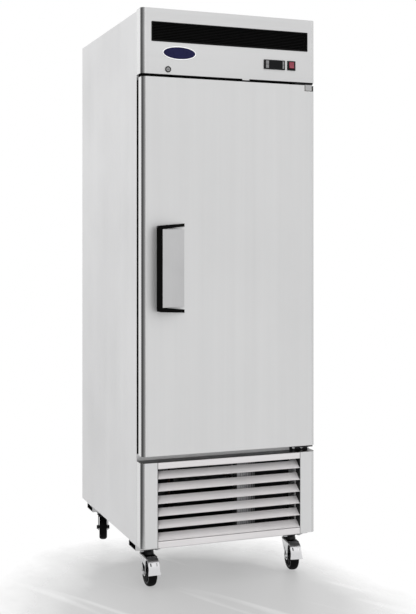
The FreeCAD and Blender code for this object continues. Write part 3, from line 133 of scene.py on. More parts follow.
def surface(name, colour, rough, metal=0.0, grain=(300, 300, 300), patch=4.0, tone=0.05,
            streak=0.5, rough_by=0.06, bump=0.1, height=0.0002, fine=4, rolled=None, above=None,
            **constants):
    """A finish whose tone, roughness and relief vary: fine grain, and broad patches of handling and dust.

    rolled is the distance from the middle plane past which sheet is rolled round a corner, and smoother.
    above is a level and a factor: the finish is that much darker above the level."""
    material = bpy.data.materials.new(name)
    material.use_nodes = True
    tree = material.node_tree
    shader = tree.nodes["Principled BSDF"]
    coords = tree.nodes.new("ShaderNodeTexCoord").outputs["Object"]
    lines = noise(tree, coords, grain, fine, 0.37)
    broad = noise(tree, coords, (patch, patch, patch), 5, 1.91)
    mixed = arithmetic(tree, "ADD", spread(tree, lines, -tone * streak, tone * streak),
                       spread(tree, broad, 1.0 - tone * (1 - streak), 1.0 + tone * (1 - streak)))
    if rolled or above:
        place = tree.nodes.new("ShaderNodeSeparateXYZ")
        link(tree, coords, place.inputs["Vector"])
    if above:
        level, darker = above
        mixed = arithmetic(tree, "MULTIPLY", mixed,
                           spread(tree, place.outputs["Z"], 1.0, darker, level - 0.001, level))
    link(tree, tinted(tree, colour[:3], mixed), shader.inputs["Base Color"])
    shine = arithmetic(tree, "ADD", spread(tree, lines, -rough_by * 0.6, rough_by * 0.6),
                       spread(tree, broad, rough - rough_by, rough + rough_by))
    if rolled:
        aside = arithmetic(tree, "ABSOLUTE", place.outputs["X"], 0.0)
        smoother = spread(tree, aside, 1.0, ROLLED_ROUGH, rolled - ROLL_BLEND, rolled)
        shine = arithmetic(tree, "MULTIPLY", shine, smoother)
        mirrors = spread(tree, aside, metal * FLAT_METAL, metal, rolled - ROLL_BLEND, rolled)
        link(tree, mirrors, shader.inputs["Metallic"])
    else:
        shader.inputs["Metallic"].default_value = metal
    link(tree, shine, shader.inputs["Roughness"])
    relief = tree.nodes.new("ShaderNodeBump")
    relief.inputs["Strength"].default_value = bump
    relief.inputs["Distance"].default_value = height
    link(tree, lines, relief.inputs["Height"])
    link(tree, relief.outputs["Normal"], shader.inputs["Normal"])
    for socket, value in constants.items():
        shader.inputs[socket.replace("_", " ")].default_value = value
    return material


# Noise scales of the brushed grain when it runs up and down, and when it runs from side to side.
UPRIGHT = (22, 22, 0.35)
LEVEL = (0.35, 22, 22)
STEEL = (0.655, 0.656, 0.658)
# Distance from the middle plane, in metres, past which the front sheets are rolled round a corner.
ROLLED = 0.329
steel_door = surface("brushed_steel_door", STEEL, 0.42, 1.0, UPRIGHT, 2.2, 0.055, fine=9, rolled=ROLLED)
steel_header = surface("brushed_steel_header", STEEL, 0.42, 1.0, LEVEL, 2.5, 0.06, fine=9, rolled=ROLLED)
# The side panels are the front's steel, painted lighter to stand in for the brighter light on the sides.
steel_side_painted_light = surface("brushed_steel_side_painted_lighter", (0.73, 0.73, 0.735), 0.42, 1.0, UPRIGHT, 1.6, 0.05, fine=9)
steel_post = surface("brushed_steel_post", STEEL, 0.42, 1.0, UPRIGHT, 3.0, 0.07, fine=9, rolled=ROLLED)
# The sill's steel is painted near-black: painted shade for the dark gap under the door.
steel_sill_painted_shade = surface("sill_steel_painted_shade", (0.055, 0.053, 0.053), 0.35, 1.0, (4, 90, 90), 6.0, 0.45,
                     0.8, fine=6)
steel_louvre = surface("brushed_steel_louvre", (0.74, 0.72, 0.725), 0.50, 0.25, (3, 150, 150), 5.0, 0.09,
                       fine=6, bump=0.15)
# The handle's face plate is the door's steel painted darker: painted shade for its tilted face.
steel_plate_painted_shade = surface("brushed_steel_plate_painted_darker", (0.56, 0.56, 0.565), 0.36, 1.0, UPRIGHT, 9.0, 0.07, fine=9)
steel_inside = surface("brushed_steel_inside", (0.62, 0.625, 0.63), 0.42, 1.0, UPRIGHT, 2.0, 0.10, fine=9)
galvanised = surface("galvanised_sheet", (0.58, 0.60, 0.61), 0.45, 1.0, (45, 45, 45), 8.0, 0.16, 0.7,
                     rough_by=0.12, bump=0.05)
# Near-black sheet as painted shade: it keeps the base bay and the louvre's cheeks dark behind the blades.
dark_sheet_painted_shade = surface("near_black_sheet_painted_shade", (0.016, 0.016, 0.017), 0.6, 0.0, (300, 300, 300), 8.0, 0.3,
                     Specular_IOR_Level=0.15)
zinc = surface("zinc_plate", (0.62, 0.63, 0.64), 0.30, 1.0, (260, 260, 260), 30.0, 0.12, rough_by=0.1,
               bump=0.08)
bright_zinc = surface("bright_zinc_plate", (0.66, 0.66, 0.67), 0.34, 1.0, (260, 260, 260), 30.0, 0.12,
                      rough_by=0.08, bump=0.08)
fork_zinc = surface("zinc_plate_black_race", (0.74, 0.745, 0.75), 0.28, 1.0, (260, 260, 260), 30.0, 0.15,
                    rough_by=0.1, bump=0.08, above=(0.1045, 0.03))
grey_metal = surface("cast_zinc", (0.42, 0.42, 0.425), 0.36, 1.0, (500, 500, 500), 30.0, 0.12, bump=0.1)
# The lock's chrome is painted darker and its ring near-black: painted shade for the lock's dark recess.
chrome_painted_shade = surface("chrome_painted_shade", (0.28, 0.28, 0.285), 0.14, 1.0, (400, 400, 400), 60.0, 0.10, rough_by=0.04,
                 bump=0.03)
lock_ring_painted_shade = surface("lock_ring_painted_dark_shade", (0.035, 0.035, 0.035), 0.26, 1.0, (400, 400, 400), 60.0, 0.2,
                    bump=0.03)
# Black oxide, also used as painted shade on the hinge brackets, which sit in shadow.
black_oxide_and_shade = surface("black_oxide_and_painted_shade", (0.012, 0.012, 0.013), 0.42, 0.0, (300, 300, 300), 40.0, 0.3,
                     Specular_IOR_Level=0.2)
black_plastic = surface("black_moulding", (0.006, 0.006, 0.007), 0.42, 0.0, (1500, 1500, 1500), 12.0, 0.25,
                        rough_by=0.07, bump=0.18, height=0.0001, Specular_IOR_Level=0.18)
black_grip = surface("black_grip", (0.002, 0.002, 0.002), 0.55, 0.0, (1500, 1500, 1500), 12.0, 0.25,
                     rough_by=0.06, bump=0.18, height=0.0001, Specular_IOR_Level=0.04)
# Black foam, used as painted shade in the door gaps and channel ends, and as the dark vent filter.
black_felt_and_painted_shade = surface("black_foam_and_painted_shade", (0.004, 0.004, 0.004), 0.9, 0.0, (1500, 1500, 1500), 20.0, 0.4,
                     bump=0.6, Specular_IOR_Level=0.02)
gloss_black = surface("black_gloss", (0.005, 0.005, 0.006), 0.12, 0.0, (200, 200, 200), 14.0, 0.2,
                      rough_by=0.05, bump=0.01, Specular_IOR_Level=0.12)
dark_louvre = surface("black_louvre_moulding", (0.006, 0.006, 0.006), 0.45, 0.0, (40, 900, 900), 9.0, 0.35,
                      rough_by=0.08, bump=0.12, Specular_IOR_Level=0.07)
grey_key = surface("grey_key", (0.24, 0.24, 0.245), 0.45, 0.0, (900, 900, 900), 40.0, 0.12)
red_rocker = surface("red_rocker", (0.26, 0.018, 0.045), 0.22, 0.0, (500, 500, 500), 60.0, 0.25, bump=0.03,
                     Coat_Weight=0.35)
navy = surface("navy_enamel", (0.010, 0.010, 0.052), 0.30, 0.0, (700, 700, 700), 30.0, 0.2, bump=0.05,
               Specular_IOR_Level=0.12)
# The pale rim glows a little: painted light, as it is no lamp.
rim_painted_glow = surface("pale_rim_painted_glow", (0.90, 0.90, 0.92), 0.3, 0.0, (500, 500, 500), 40.0, 0.05, bump=0.03,
                    Emission_Color=(1, 1, 1, 1), Emission_Strength=0.35)
vinyl = surface("gasket_vinyl", (0.012, 0.012, 0.013), 0.5, 0.0, (30, 30, 500), 10.0, 0.2,
                Specular_IOR_Level=0.2)
white_plastic = surface("white_moulding", (0.74, 0.74, 0.73), 0.42, 0.0, (700, 700, 700), 7.0, 0.05,
                        bump=0.06)
foam = surface("foam", (0.78, 0.68, 0.42), 0.9, 0.0, (400, 400, 400), 20.0, 0.2, bump=0.8, height=0.001)
rubber = surface("tyre_rubber", (0.004, 0.004, 0.004), 0.55, 0.0, (500, 500, 500), 35.0, 0.35,
                 rough_by=0.1, bump=0.2, Specular_IOR_Level=0.05)
nylon = surface("wheel_nylon", (0.012, 0.012, 0.013), 0.40, 0.0, (300, 300, 300), 40.0, 0.3,
                Specular_IOR_Level=0.25)
# Copper painted very dark: painted shade that keeps the pipes and tubes dim in the base bay.
copper_in_painted_shade = surface("copper_painted_shade", (0.06, 0.038, 0.030), 0.38, 0.9, (200, 200, 200), 25.0, 0.35, rough_by=0.12,
                 bump=0.05)
black_fins = surface("black_coated_fins", (0.020, 0.020, 0.021), 0.5, 0.0, (60, 60, 900), 12.0, 0.3,
                     Specular_IOR_Level=0.2)
dull_guard = surface("dusty_zinc_guard", (0.30, 0.30, 0.31), 0.6, 0.2, (90, 90, 90), 20.0, 0.35, bump=0.1)
fins = surface("aluminium_fins", (0.66, 0.67, 0.68), 0.42, 0.3, (60, 60, 900), 12.0, 0.18, bump=0.15)
black_paint = surface("black_enamel", (0.012, 0.012, 0.013), 0.30, 0.0, (250, 250, 250), 14.0, 0.3,
                      rough_by=0.1, Specular_IOR_Level=0.35)
coated_wire = surface("coated_wire", (0.62, 0.64, 0.66), 0.34, 0.0, (400, 400, 400), 9.0, 0.08, bump=0.08,
                      Coat_Weight=0.4)
grey_paint = surface("grey_paint", (0.30, 0.31, 0.32), 0.45, 0.0, (600, 600, 600), 9.0, 0.12, bump=0.2)

# ---- CAD nodes that show as they are, with these finishes and edge widths in millimetres
# None means flat shading with no softened edges, for nodes made of sheets that touch.
CARRIED = {
    "side_panel_left": (steel_side_painted_light, 0.5),
    "side_panel_right": (steel_side_painted_light, 0.5),
    "top_panel": (galvanised, 0.5),
    "back_panel": (galvanised, 0.5),
    "cabinet_insulation": (foam, None),
    "interior_liner": (steel_inside, None),
    "front_frame": (steel_post, 0.4),
    "breaker_strips": (white_plastic, None),
    "bay_ceiling_sill": (steel_sill_painted_shade, 0.5),
    "base_pan": (dark_sheet_painted_shade, 0.5),
    "cross_channels": (steel_post, 0.8),
    "base_corner_posts": (steel_post, 0.5),
    "front_grille": (steel_louvre, 0.6),
    "header_panel": (steel_header, 0.5),
    "header_vent_grille": (dark_louvre, 0.5),
    "badge_plate": (navy, 0.3),
    "controller_housing": (black_plastic, 0.6),
    "controller_display": (gloss_black, 0.3),
    "controller_key_set": (grey_key, 0.3),
    "controller_key_defrost": (grey_key, 0.3),
    "controller_key_up": (grey_key, 0.3),
    "controller_key_down": (grey_key, 0.3),
    "light_switch_body": (black_plastic, 0.6),
    "light_switch_rocker": (red_rocker, 0.5),
    "lock_body": (lock_ring_painted_shade, 0.8),
    "lock_cylinder": (chrome_painted_shade, 0.4),
    "door_outer_pan": (steel_door, 0.5),
    "door_insulation": (foam, None),
    "door_inner_panel": (steel_inside, 1.0),
    "door_gasket": (vinyl, 0.8),
    "door_hinge_blocks": (grey_metal, 0.8),
    # The hinge brackets are painted black as shade, for the shadow they sit in.
    "hinge_brackets": (black_oxide_and_shade, 0.8),
    "handle_frame": (black_grip, 1.5),
    "handle_face_plate": (steel_plate_painted_shade, 0.4),
    "caster_plates": (black_oxide_and_shade, 0.8),
    "caster_fork_fl": (fork_zinc, 0.7),
    "caster_fork_fr": (fork_zinc, 0.7),
    "caster_fork_rl": (black_oxide_and_shade, 0.7),
    "caster_fork_rr": (black_oxide_and_shade, 0.7),
    "caster_wheel_fl": (rubber, 0.6),
    "caster_wheel_fr": (rubber, 0.6),
    "caster_wheel_rl": (rubber, 0.6),
    "caster_wheel_rr": (rubber, 0.6),
    "caster_brake_fl": (bright_zinc, 0.5),
    "caster_brake_fr": (bright_zinc, 0.5),
    "fasteners": (zinc, 0.4),
    "evaporator_cover": (steel_inside, None),
    "evaporator_coil": (fins, 0.4),
    "evaporator_fan": (black_plastic, 0.4),
    "fan_motors": (black_oxide_and_shade, 1.0),
    "interior_light": (white_plastic, 1.0),
    "shelf_supports": (steel_inside, 0.5),
    "shelf_bottom": (coated_wire, 0.0),
    "shelf_middle": (coated_wire, 0.0),
    "shelf_top": (coated_wire, 0.0),
    "compressor": (black_paint, 1.5),
    "condenser": (fins, 0.5),
    "condenser_fan": (black_plastic, 0.4),
    "refrigerant_pipes": (copper_in_painted_shade, 0.0),
    "electrical_box": (grey_paint, 1.0),
}


def soften(obj, edge, angle=38):
    """Rounds every edge that turns by more than the angle, and evens out the shading."""
    if edge:
        soft = obj.modifiers.new("edge", "BEVEL")
        soft.width = edge * MM
        soft.segments = 2
        soft.limit_method = "ANGLE"
        soft.angle_limit = math.radians(angle)
    even = obj.modifiers.new("even", "WEIGHTED_NORMAL")
    even.keep_sharp = True


# Vertices nearer than this are one, in metres, and faces that turn by less than this are one, in degrees.
WELD_WITHIN = 0.000002
FLAT_WITHIN = 0.3


def show_carried(node, material, edge):
    """Gives a CAD node its finish, with softened edges and even shading unless edge is None."""
    obj = frame["nodes"][node]
    obj.data.materials.clear()
    obj.data.materials.append(material)
    if edge is None:
        obj.data.shade_flat()
        return
    obj.data.shade_smooth()
    weld = obj.modifiers.new("weld", "WELD")
    weld.merge_threshold = WELD_WITHIN
    if edge:
        flat = obj.modifiers.new("flat", "DECIMATE")
        flat.decimate_type = "DISSOLVE"
        flat.angle_limit = math.radians(FLAT_WITHIN)
    soften(obj, edge)


for carried_node, (finish, softness) in CARRIED.items():
    show_carried(carried_node, finish, softness)


# ---- building meshes ----------------------------------------------------------------
def skin(bm, rings, closed=True):
    """Faces between neighbouring rings of equally many vertices."""
    for first, second in zip(rings, rings[1:]):
        count = len(first)
        for i in range(count if closed else count - 1):
            j = (i + 1) % count
            bm.faces.new((first[i], first[j], second[j], second[i]))


def along_x(u, v, w):
    return at(w, u, v)


def along_z(u, v, w):
    return at(u, v, w)


def prism(bm, outline, low, high, place):
    """A closed outline carried along an axis. place() turns (u, v, along) into a point."""
    rings = [[bm.verts.new(place(u, v, w)) for u, v in outline] for w in (low, high)]
    skin(bm, rings)
    for ring in rings:
        bm.faces.new(ring)


def block(bm, xs, ys, zs, place=at):
    outline = [(xs[0], ys[0]), (xs[1], ys[0]), (xs[1], ys[1]), (xs[0], ys[1])]
    prism(bm, outline, zs[0], zs[1], place)


def lathe(bm, profile, place, steps=48, closed=True):
    """A profile of (radius, along) points turned about an axis. place() takes (across, up, along)."""
    rings = []
    for i in range(steps):
        turn = 2 * math.pi * i / steps
        rings.append([bm.verts.new(place(r * math.cos(turn), r * math.sin(turn), w))
                      for r, w in profile])
    skin(bm, rings + rings[:1], closed)


def sheet_outline(points, thick):
    """The outline of a thin sheet that follows the points, half its thickness to each side."""
    left, right = [], []
    for i, (u, v) in enumerate(points):
        before = points[max(i - 1, 0)]
        after = points[min(i + 1, len(points) - 1)]
        du, dv = after[0] - before[0], after[1] - before[1]
        size = math.hypot(du, dv)
        left.append((u - dv / size * thick / 2, v + du / size * thick / 2))
        right.append((u + dv / size * thick / 2, v - du / size * thick / 2))
    return left + right[::-1]


def corner_ring(bm, xs, zs, inset, y, radius, steps=4):
    """A rectangle of vertices with rounded corners, facing the front, moved in from its sides."""
    x0, x1, z0, z1 = xs[0] + inset, xs[1] - inset, zs[0] + inset, zs[1] - inset
    ring = []
    for cx, cz, first in ((x1 - radius, z1 - radius, 0), (x0 + radius, z1 - radius, 90),
                          (x0 + radius, z0 + radius, 180), (x1 - radius, z0 + radius, 270)):
        for i in range(steps + 1):
            turn = math.radians(first + 90 * i / steps)
            ring.append(bm.verts.new(at(cx + radius * math.cos(turn), y, cz + radius * math.sin(turn))))
    return ring


def framing(bm, xs, zs, profile, radius):
    """A section of (inset, y) points carried round a rectangle, mitred at its rounded corners."""
    rings = [corner_ring(bm, xs, zs, inset, y, max(radius - inset, 0.3)) for inset, y in profile]
    skin(bm, rings + rings[:1])


def piece(name, bm, material, body, hides=(), edge=0.0, angle=38):
    """Turns a finished bmesh into a piece that rides on a body and takes its finish from a slot."""
    bmesh.ops.remove_doubles(bm, verts=bm.verts, dist=WELD_WITHIN)
    bmesh.ops.dissolve_degenerate(bm, edges=bm.edges, dist=0.000001)
    bmesh.ops.recalc_face_normals(bm, faces=bm.faces)
    mesh = bpy.data.meshes.new(name)
    bm.to_mesh(mesh)
    bm.free()
    mesh.materials.append(material)
    mesh.shade_smooth()
    obj = bpy.data.objects.new(name, mesh)
    bpy.context.scene.collection.objects.link(obj)
    soften(obj, edge, angle)
    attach(obj, body)
    if hides:
        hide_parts(*hides)
    return obj


# ---- header -------------------------------------------------------------------------
def vent_grille():
    """A lapped rim, sloping blades with rolled lips, and a dark filter behind them."""
    xs, ys, zs = limits("header_vent_grille")
    rim, deep = 5.0, ys[1]
    bm = bmesh.new()
    section = [(0, 0), (0.4, -1.2), (1.2, -1.5), (4.2, -1.5), (rim, -0.8), (rim, deep), (2.3, deep), (2.3, 0)]
    framing(bm, xs, zs, section, 2.5)
    count = 11
    pitch = (zs[1] - zs[0] - 2 * rim) / count
    for i in range(count):
        z = zs[0] + rim + pitch * (i + 0.2)
        blade = [(1.6, z + 1.2), (0.7, z + 0.9), (0.5, z + 0.2), (1.2, z - 0.1), (4.0, z + 0.9),
                 (deep - 2, z + 4.2)]
        prism(bm, sheet_outline(blade, 0.8), xs[0] + rim - 0.5, xs[1] - rim + 0.5, along_x)
    piece("vent_grille", bm, dark_louvre, "cabinet", ["header_vent_grille"])
    bm = bmesh.new()
    ridge = 2.0
    steps = int((xs[1] - xs[0] - 2 * rim) / ridge)
    front = [(xs[0] + rim + ridge * i, deep - 1.6 + 0.9 * (i % 2)) for i in range(steps)]
    back = [(corner[0], deep - 0.1) for corner in front]
    low, high = zs[0] + rim, zs[1] - rim
    rings = [[bm.verts.new(at(x, y, z)) for x, y in row]
             for row, z in ((front, low), (front, high), (back, high), (back, low))]
    skin(bm, rings + rings[:1], closed=False)
    for end in (0, -1):
        bm.faces.new([ring[end] for ring in rings])
    piece("vent_filter", bm, black_felt_and_painted_shade, "cabinet")


def badge():
    """A blank oval: a pale raised rim, with a painted glow, round a dark, slightly domed plate."""
    xs, ys, zs = limits("badge_plate")
    middle = ((xs[0] + xs[1]) / 2, (zs[0] + zs[1]) / 2)
    half = ((xs[1] - xs[0]) / 2, (zs[1] - zs[0]) / 2)
    front = ys[0]
    steps = 72
    rim_wide = 2.4

    def oval(bm, inset, scale, y):
        ring = []
        for i in range(steps):
            turn = 2 * math.pi * i / steps
            ring.append(bm.verts.new(at(middle[0] + (half[0] - inset) * scale * math.cos(turn), y,
                                        middle[1] + (half[1] - inset) * scale * math.sin(turn))))
        return ring

    bm = bmesh.new()
    section = [(0, 0), (0, front * 0.6), (0.5, front * 0.95), (1.4, front), (rim_wide, front * 0.6),
               (rim_wide, 0)]
    rings = [oval(bm, inset, 1.0, y) for inset, y in section]
    skin(bm, rings + rings[:1])
    piece("badge_rim", bm, rim_painted_glow, "cabinet", ["badge_plate"])
    bm = bmesh.new()
    dome = [(1.0, 0), (1.0, front * 0.55), (0.95, front * 0.72), (0.75, front * 0.84), (0.4, front * 0.92),
            (0.06, front * 0.94)]
    rings = [oval(bm, rim_wide + 0.05, scale, y) for scale, y in dome]
    skin(bm, rings)
    bm.faces.new(rings[0])
    bm.faces.new(rings[-1])
    piece("badge_field", bm, navy, "cabinet")


def rocker():
    """A dished rocker face: two curved halves that meet at a shallow valley, with fine grip lines."""
    xs, _, zs = limits("light_switch_rocker")
    half = 9.5
    middle_x, middle_z = (xs[0] + xs[1]) / 2, (zs[0] + zs[1]) / 2
    pivot_y, tilt = 2.0, math.radians(6)
    face = -5.0
    tall = 11.5
    steps = 14
    outline = []
    for i in range(steps + 1):
        up = -tall + 2 * tall * i / steps
        outline.append((face - 1.2 * (abs(up) / tall) ** 1.6 + (0.12 if i % 2 else 0.0), up))
    outline += [(5, tall - 2), (7, 0), (5, -tall + 2)]
    turned = []
    for y, up in outline:
        dy = y - pivot_y
        turned.append((pivot_y + dy * math.cos(tilt) + up * math.sin(tilt),
                       middle_z - dy * math.sin(tilt) + up * math.cos(tilt)))
    bm = bmesh.new()
    prism(bm, turned, middle_x - half, middle_x + half, along_x)
    piece("switch_rocker", bm, red_rocker, "light_rocker",
          ["light_switch_rocker"], 0.5)


def display_window():
    """The controller's blank dark window, with rounded corners and a bevelled front edge."""
    xs, ys, zs = limits("controller_display")
    bevel = ((0, ys[1]), (0, ys[0] + 0.25), (0.3, ys[0]))
    bm = bmesh.new()
    rings = [corner_ring(bm, xs, zs, inset, y, 1.5) for inset, y in bevel]
    skin(bm, rings)
    bm.faces.new(rings[0])
    bm.faces.new(rings[-1])
    piece("display_window", bm, gloss_black, "cabinet", ["controller_display"])


def gap_shade_fill():
    """Black foam strips that line the gaps round the door as painted shade, keeping them dark, and leave room
    for the lock's cam.
    """
    tab_drop = 4.5
    header_low = limits("header_panel")[2][0] + tab_drop
    door_xs, door_ys, door_zs = limits("door_outer_pan")
    frame_y = limits("front_frame")[1][0]
    cam_ys = limits("lock_cylinder")[1]
    cam_gap = (cam_ys[1] - 5.5, cam_ys[1] + 3.0)
    wide = door_xs[1] - 6
    bm = bmesh.new()
    for ys in ((1.6, cam_gap[0]), (cam_gap[1], frame_y - 0.2)):
        block(bm, (-wide, wide), ys, (header_low - 2.6, header_low - 0.1))
    block(bm, (-wide, wide), (frame_y - 1.2, frame_y - 0.1), (door_zs[1] - 6, header_low - 3.2))
    for side in (-1, 1):
        xs = sorted((side * (door_xs[1] + 1.4), side * (door_xs[1] - 15)))
        block(bm, xs, (frame_y - 1.0, frame_y - 0.1), (door_zs[0] + 2, door_zs[1] - 8))
    piece("gap_painted_shade", bm, black_felt_and_painted_shade, "cabinet", edge=0.3)
    bm = bmesh.new()
    outer, inner, pan_back, seal_back = 1.2, 22, door_ys[1], door_ys[1] + 0.8
    section = ((outer, pan_back), (outer, seal_back), (inner, seal_back), (inner, pan_back))
    rings = [corner_ring(bm, door_xs, door_zs, inset, y, 2.0, 2) for inset, y in section]
    skin(bm, rings + rings[:1])
    piece("door_edge_painted_shade", bm, black_felt_and_painted_shade, "door")


def channel_painted_shade():
    """Black sleeves in the open ends of the two cross channels, as painted shade that keeps the openings
    dark.
    """
    xs, ys, zs = limits("cross_channels")
    wall, wide, reach, thick = 2.0, 80.0, 110.0, 0.8
    bm = bmesh.new()
    for y in (ys[0], ys[1] - wide):
        low = [y + wall + 0.1, y + wide - wall - 0.1]
        level = [zs[0] + wall + 0.1, zs[1] - wall - 0.1]
        outline = [(low[0], level[0]), (low[1], level[0]), (low[1], level[1]), (low[0], level[1])]
        inner = [(low[0] + thick, level[0] + thick), (low[1] - thick, level[0] + thick),
                 (low[1] - thick, level[1] - thick), (low[0] + thick, level[1] - thick)]
        for side in (-1, 1):
            near, far = side * (xs[1] - 0.6), side * (xs[1] - reach)
            rings = [[bm.verts.new(at(x, u, v)) for u, v in line]
                     for x, line in ((near, outline), (near, inner), (far, inner), (far, outline))]
            skin(bm, rings + rings[:1])
    piece("channel_painted_shade", bm, black_felt_and_painted_shade, "cabinet")


channel_painted_shade()
vent_grille()
badge()
rocker()
display_window()
gap_shade_fill()


# ---- door ---------------------------------------------------------------------------
def gasket():
    """A bellows section, foot, two folds and magnet head, carried round the door."""
    xs, ys, zs = limits("door_gasket")
    foot, reach = ys
    fold = (foot + 3 + reach - 5) / 2
    section = [(0, foot), (24, foot), (24, foot + 2.4), (21, foot + 3), (19, foot + 3.8), (21.5, fold - 0.6),
               (21.5, fold + 0.6), (19, reach - 5.8), (20, reach - 5), (23, reach - 4.4), (23, reach - 0.7),
               (22, reach), (2, reach), (1, reach - 0.7), (1, reach - 4.4), (4, reach - 5), (5, reach - 5.8),
               (2.5, fold + 0.6), (2.5, fold - 0.6), (5, foot + 3.8), (3, foot + 3), (0, foot + 2.4)]
    bm = bmesh.new()
    framing(bm, xs, zs, section, 3.0)
    piece("door_seal", bm, vinyl, "door", ["door_gasket"], angle=60)


def inner_panel():
    """A thin pressed sheet: a flat rim, then a dish with rounded walls that stands out in the middle."""
    xs, ys, zs = limits("door_inner_panel")
    back, front = ys
    deep = front - back
    section = [(0, back, 4), (0, back + 1, 4), (43, back + 1, 14), (46, back + 1.8, 16), (48.5, back + 4, 17),
               (51, front - 3, 18), (54, front - 0.8, 19), (58, front, 20)]
    under = [(58, front - 1, 20), (54.8, front - 1.8, 19), (52, front - 3.6, 18),
             (49.5, back + deep * 0.25, 17), (44, back, 14)]
    bm = bmesh.new()
    rings = [corner_ring(bm, xs, zs, inset, y, radius, 8) for inset, y, radius in section]
    bm.faces.new(rings[-1])
    inner = [corner_ring(bm, xs, zs, inset, y, radius, 8) for inset, y, radius in under]
    bm.faces.new(inner[0])
    skin(bm, rings)
    skin(bm, inner + rings[:1])
    piece("door_liner", bm, steel_inside, "door", ["door_inner_panel"])


gasket()
inner_panel()


# ---- base grille --------------------------------------------------------------------
def louvre_panel():
    """Two folded strips and six sloping blades with rolled lips, between dark cheeks painted as shade."""
    xs, ys, zs = limits("front_grille")
    sheet = 1.2
    top_strip, low_strip = 23.2, 25.2
    gap, slit, count = 8.8, 2.4, 6
    high, low = zs[1] - top_strip, zs[0] + low_strip
    shown = (high - low - gap * (count - 1)) / count
    rise, deep = 22.0, 30.0
    inside = (xs[0] + sheet, xs[1] - sheet)
    bm = bmesh.new()
    for bottom, top in ((high, zs[1]), (zs[0], low - slit)):
        fold = [(9, top - 0.6), (2.2, top - 0.6), (1.0, top - 1.1), (0.6, top - 2.2), (0.6, bottom + 2.2),
                (1.0, bottom + 1.1), (2.2, bottom + 0.6), (7, bottom + 0.6)]
        prism(bm, sheet_outline(fold, sheet), inside[0] - 0.2, inside[1] + 0.2, along_x)
    for i in range(count):
        z = high - shown - (shown + gap) * i
        blade = [(3.4, z + 2.2), (2.0, z + 2.3), (0.9, z + 1.5), (1.3, z + 0.4), (2.6, z + 0.7),
                 (deep - 0.5, z + rise)]
        prism(bm, sheet_outline(blade, 1.0), *inside, along_x)
    piece("louvre_panel", bm, steel_louvre, "lower_grille", ["front_grille"], 0.2, 50)
    bm = bmesh.new()
    for edge, inner in ((xs[0], xs[0] + sheet), (xs[1], xs[1] - sheet)):
        block(bm, sorted((edge, inner)), (sheet, ys[1]), (zs[0] + 0.5, zs[1] - 0.5))
    piece("louvre_cheeks", bm, dark_sheet_painted_shade, "lower_grille", edge=0.3)


louvre_panel()


# ---- casters ------------------------------------------------------------------------
def axis_place(joint_name):
    """A function that puts (across, up, along) of a joint's own axis in the row frame, in millimetres."""
    joint = next(j for j in frame["joints"] if j["name"] == joint_name)
    along = Vector(joint["axis"]).normalized()
    up = Vector((0, 0, 1)) if abs(along.z) < 0.9 else Vector((0, 1, 0))
    across = up.cross(along)
    centre = Vector(joint["pos_m"])
    return lambda u, v, w: centre + (across * u + up * v + along * w) * MM


def wheel(key):
    """A crowned tyre on a dished, ribbed hub with a bearing ring in its middle."""
    place = axis_place("wheel_" + key + "_spin")
    node, body = "caster_wheel_" + key, "wheel_" + key
    radius, half, hub_radius = 50.0, 16.0, 40.0
    tyre = [(hub_radius, -half + 1.2), (hub_radius + 0.6, -half + 0.1), (radius - 8.2, -half + 0.1),
            (radius - 5.6, -half + 1.2), (radius - 3.4, -half + 2.9), (radius - 1.7, -half + 5.2),
            (radius - 0.6, -half + 8.3), (radius - 0.1, -half + 12), (radius, 0)]
    tyre += [(r, -w) for r, w in tyre[-2::-1]]
    bm = bmesh.new()
    lathe(bm, tyre, place, 64)
    piece("tyre_" + key, bm, rubber, body, [node])
    bm = bmesh.new()
    hub = [(5.05, -half), (9, -half), (11.5, -half + 1), (12.5, -half + 6.5), (hub_radius - 9, -half + 7.5),
           (hub_radius - 6.5, -half + 6), (hub_radius - 5, -half + 1.6), (hub_radius, -half + 1.3)]
    hub += [(r, -w) for r, w in reversed(hub)]
    lathe(bm, hub, place, 48)
    ribs = 6
    for i in range(ribs):
        turn = 2 * math.pi * (i + 0.5) / ribs
        for side in (-1, 1):

            def rib_place(u, v, w, turn=turn, side=side):
                across = u * math.cos(turn) - v * math.sin(turn)
                up = u * math.sin(turn) + v * math.cos(turn)
                return place(across, up, side * w)

            outline = [(11.5, -1.4), (hub_radius - 6, -1.1), (hub_radius - 6, 1.1), (11.5, 1.4)]
            prism(bm, outline, half - 8, half - 3.5, rib_place)
    piece("hub_" + key, bm, nylon, body, edge=0.4)
    bm = bmesh.new()
    for side in (-1, 1):
        ring = [(5.1, side * 16.1), (5.1, side * 17.4), (8.2, side * 17.4), (9.0, side * 16.9),
                (9.0, side * 16.1)]
        lathe(bm, ring, place, 32)
    piece("hub_ring_" + key, bm, zinc, body)


for caster in ("fl", "fr", "rl", "rr"):
    wheel(caster)


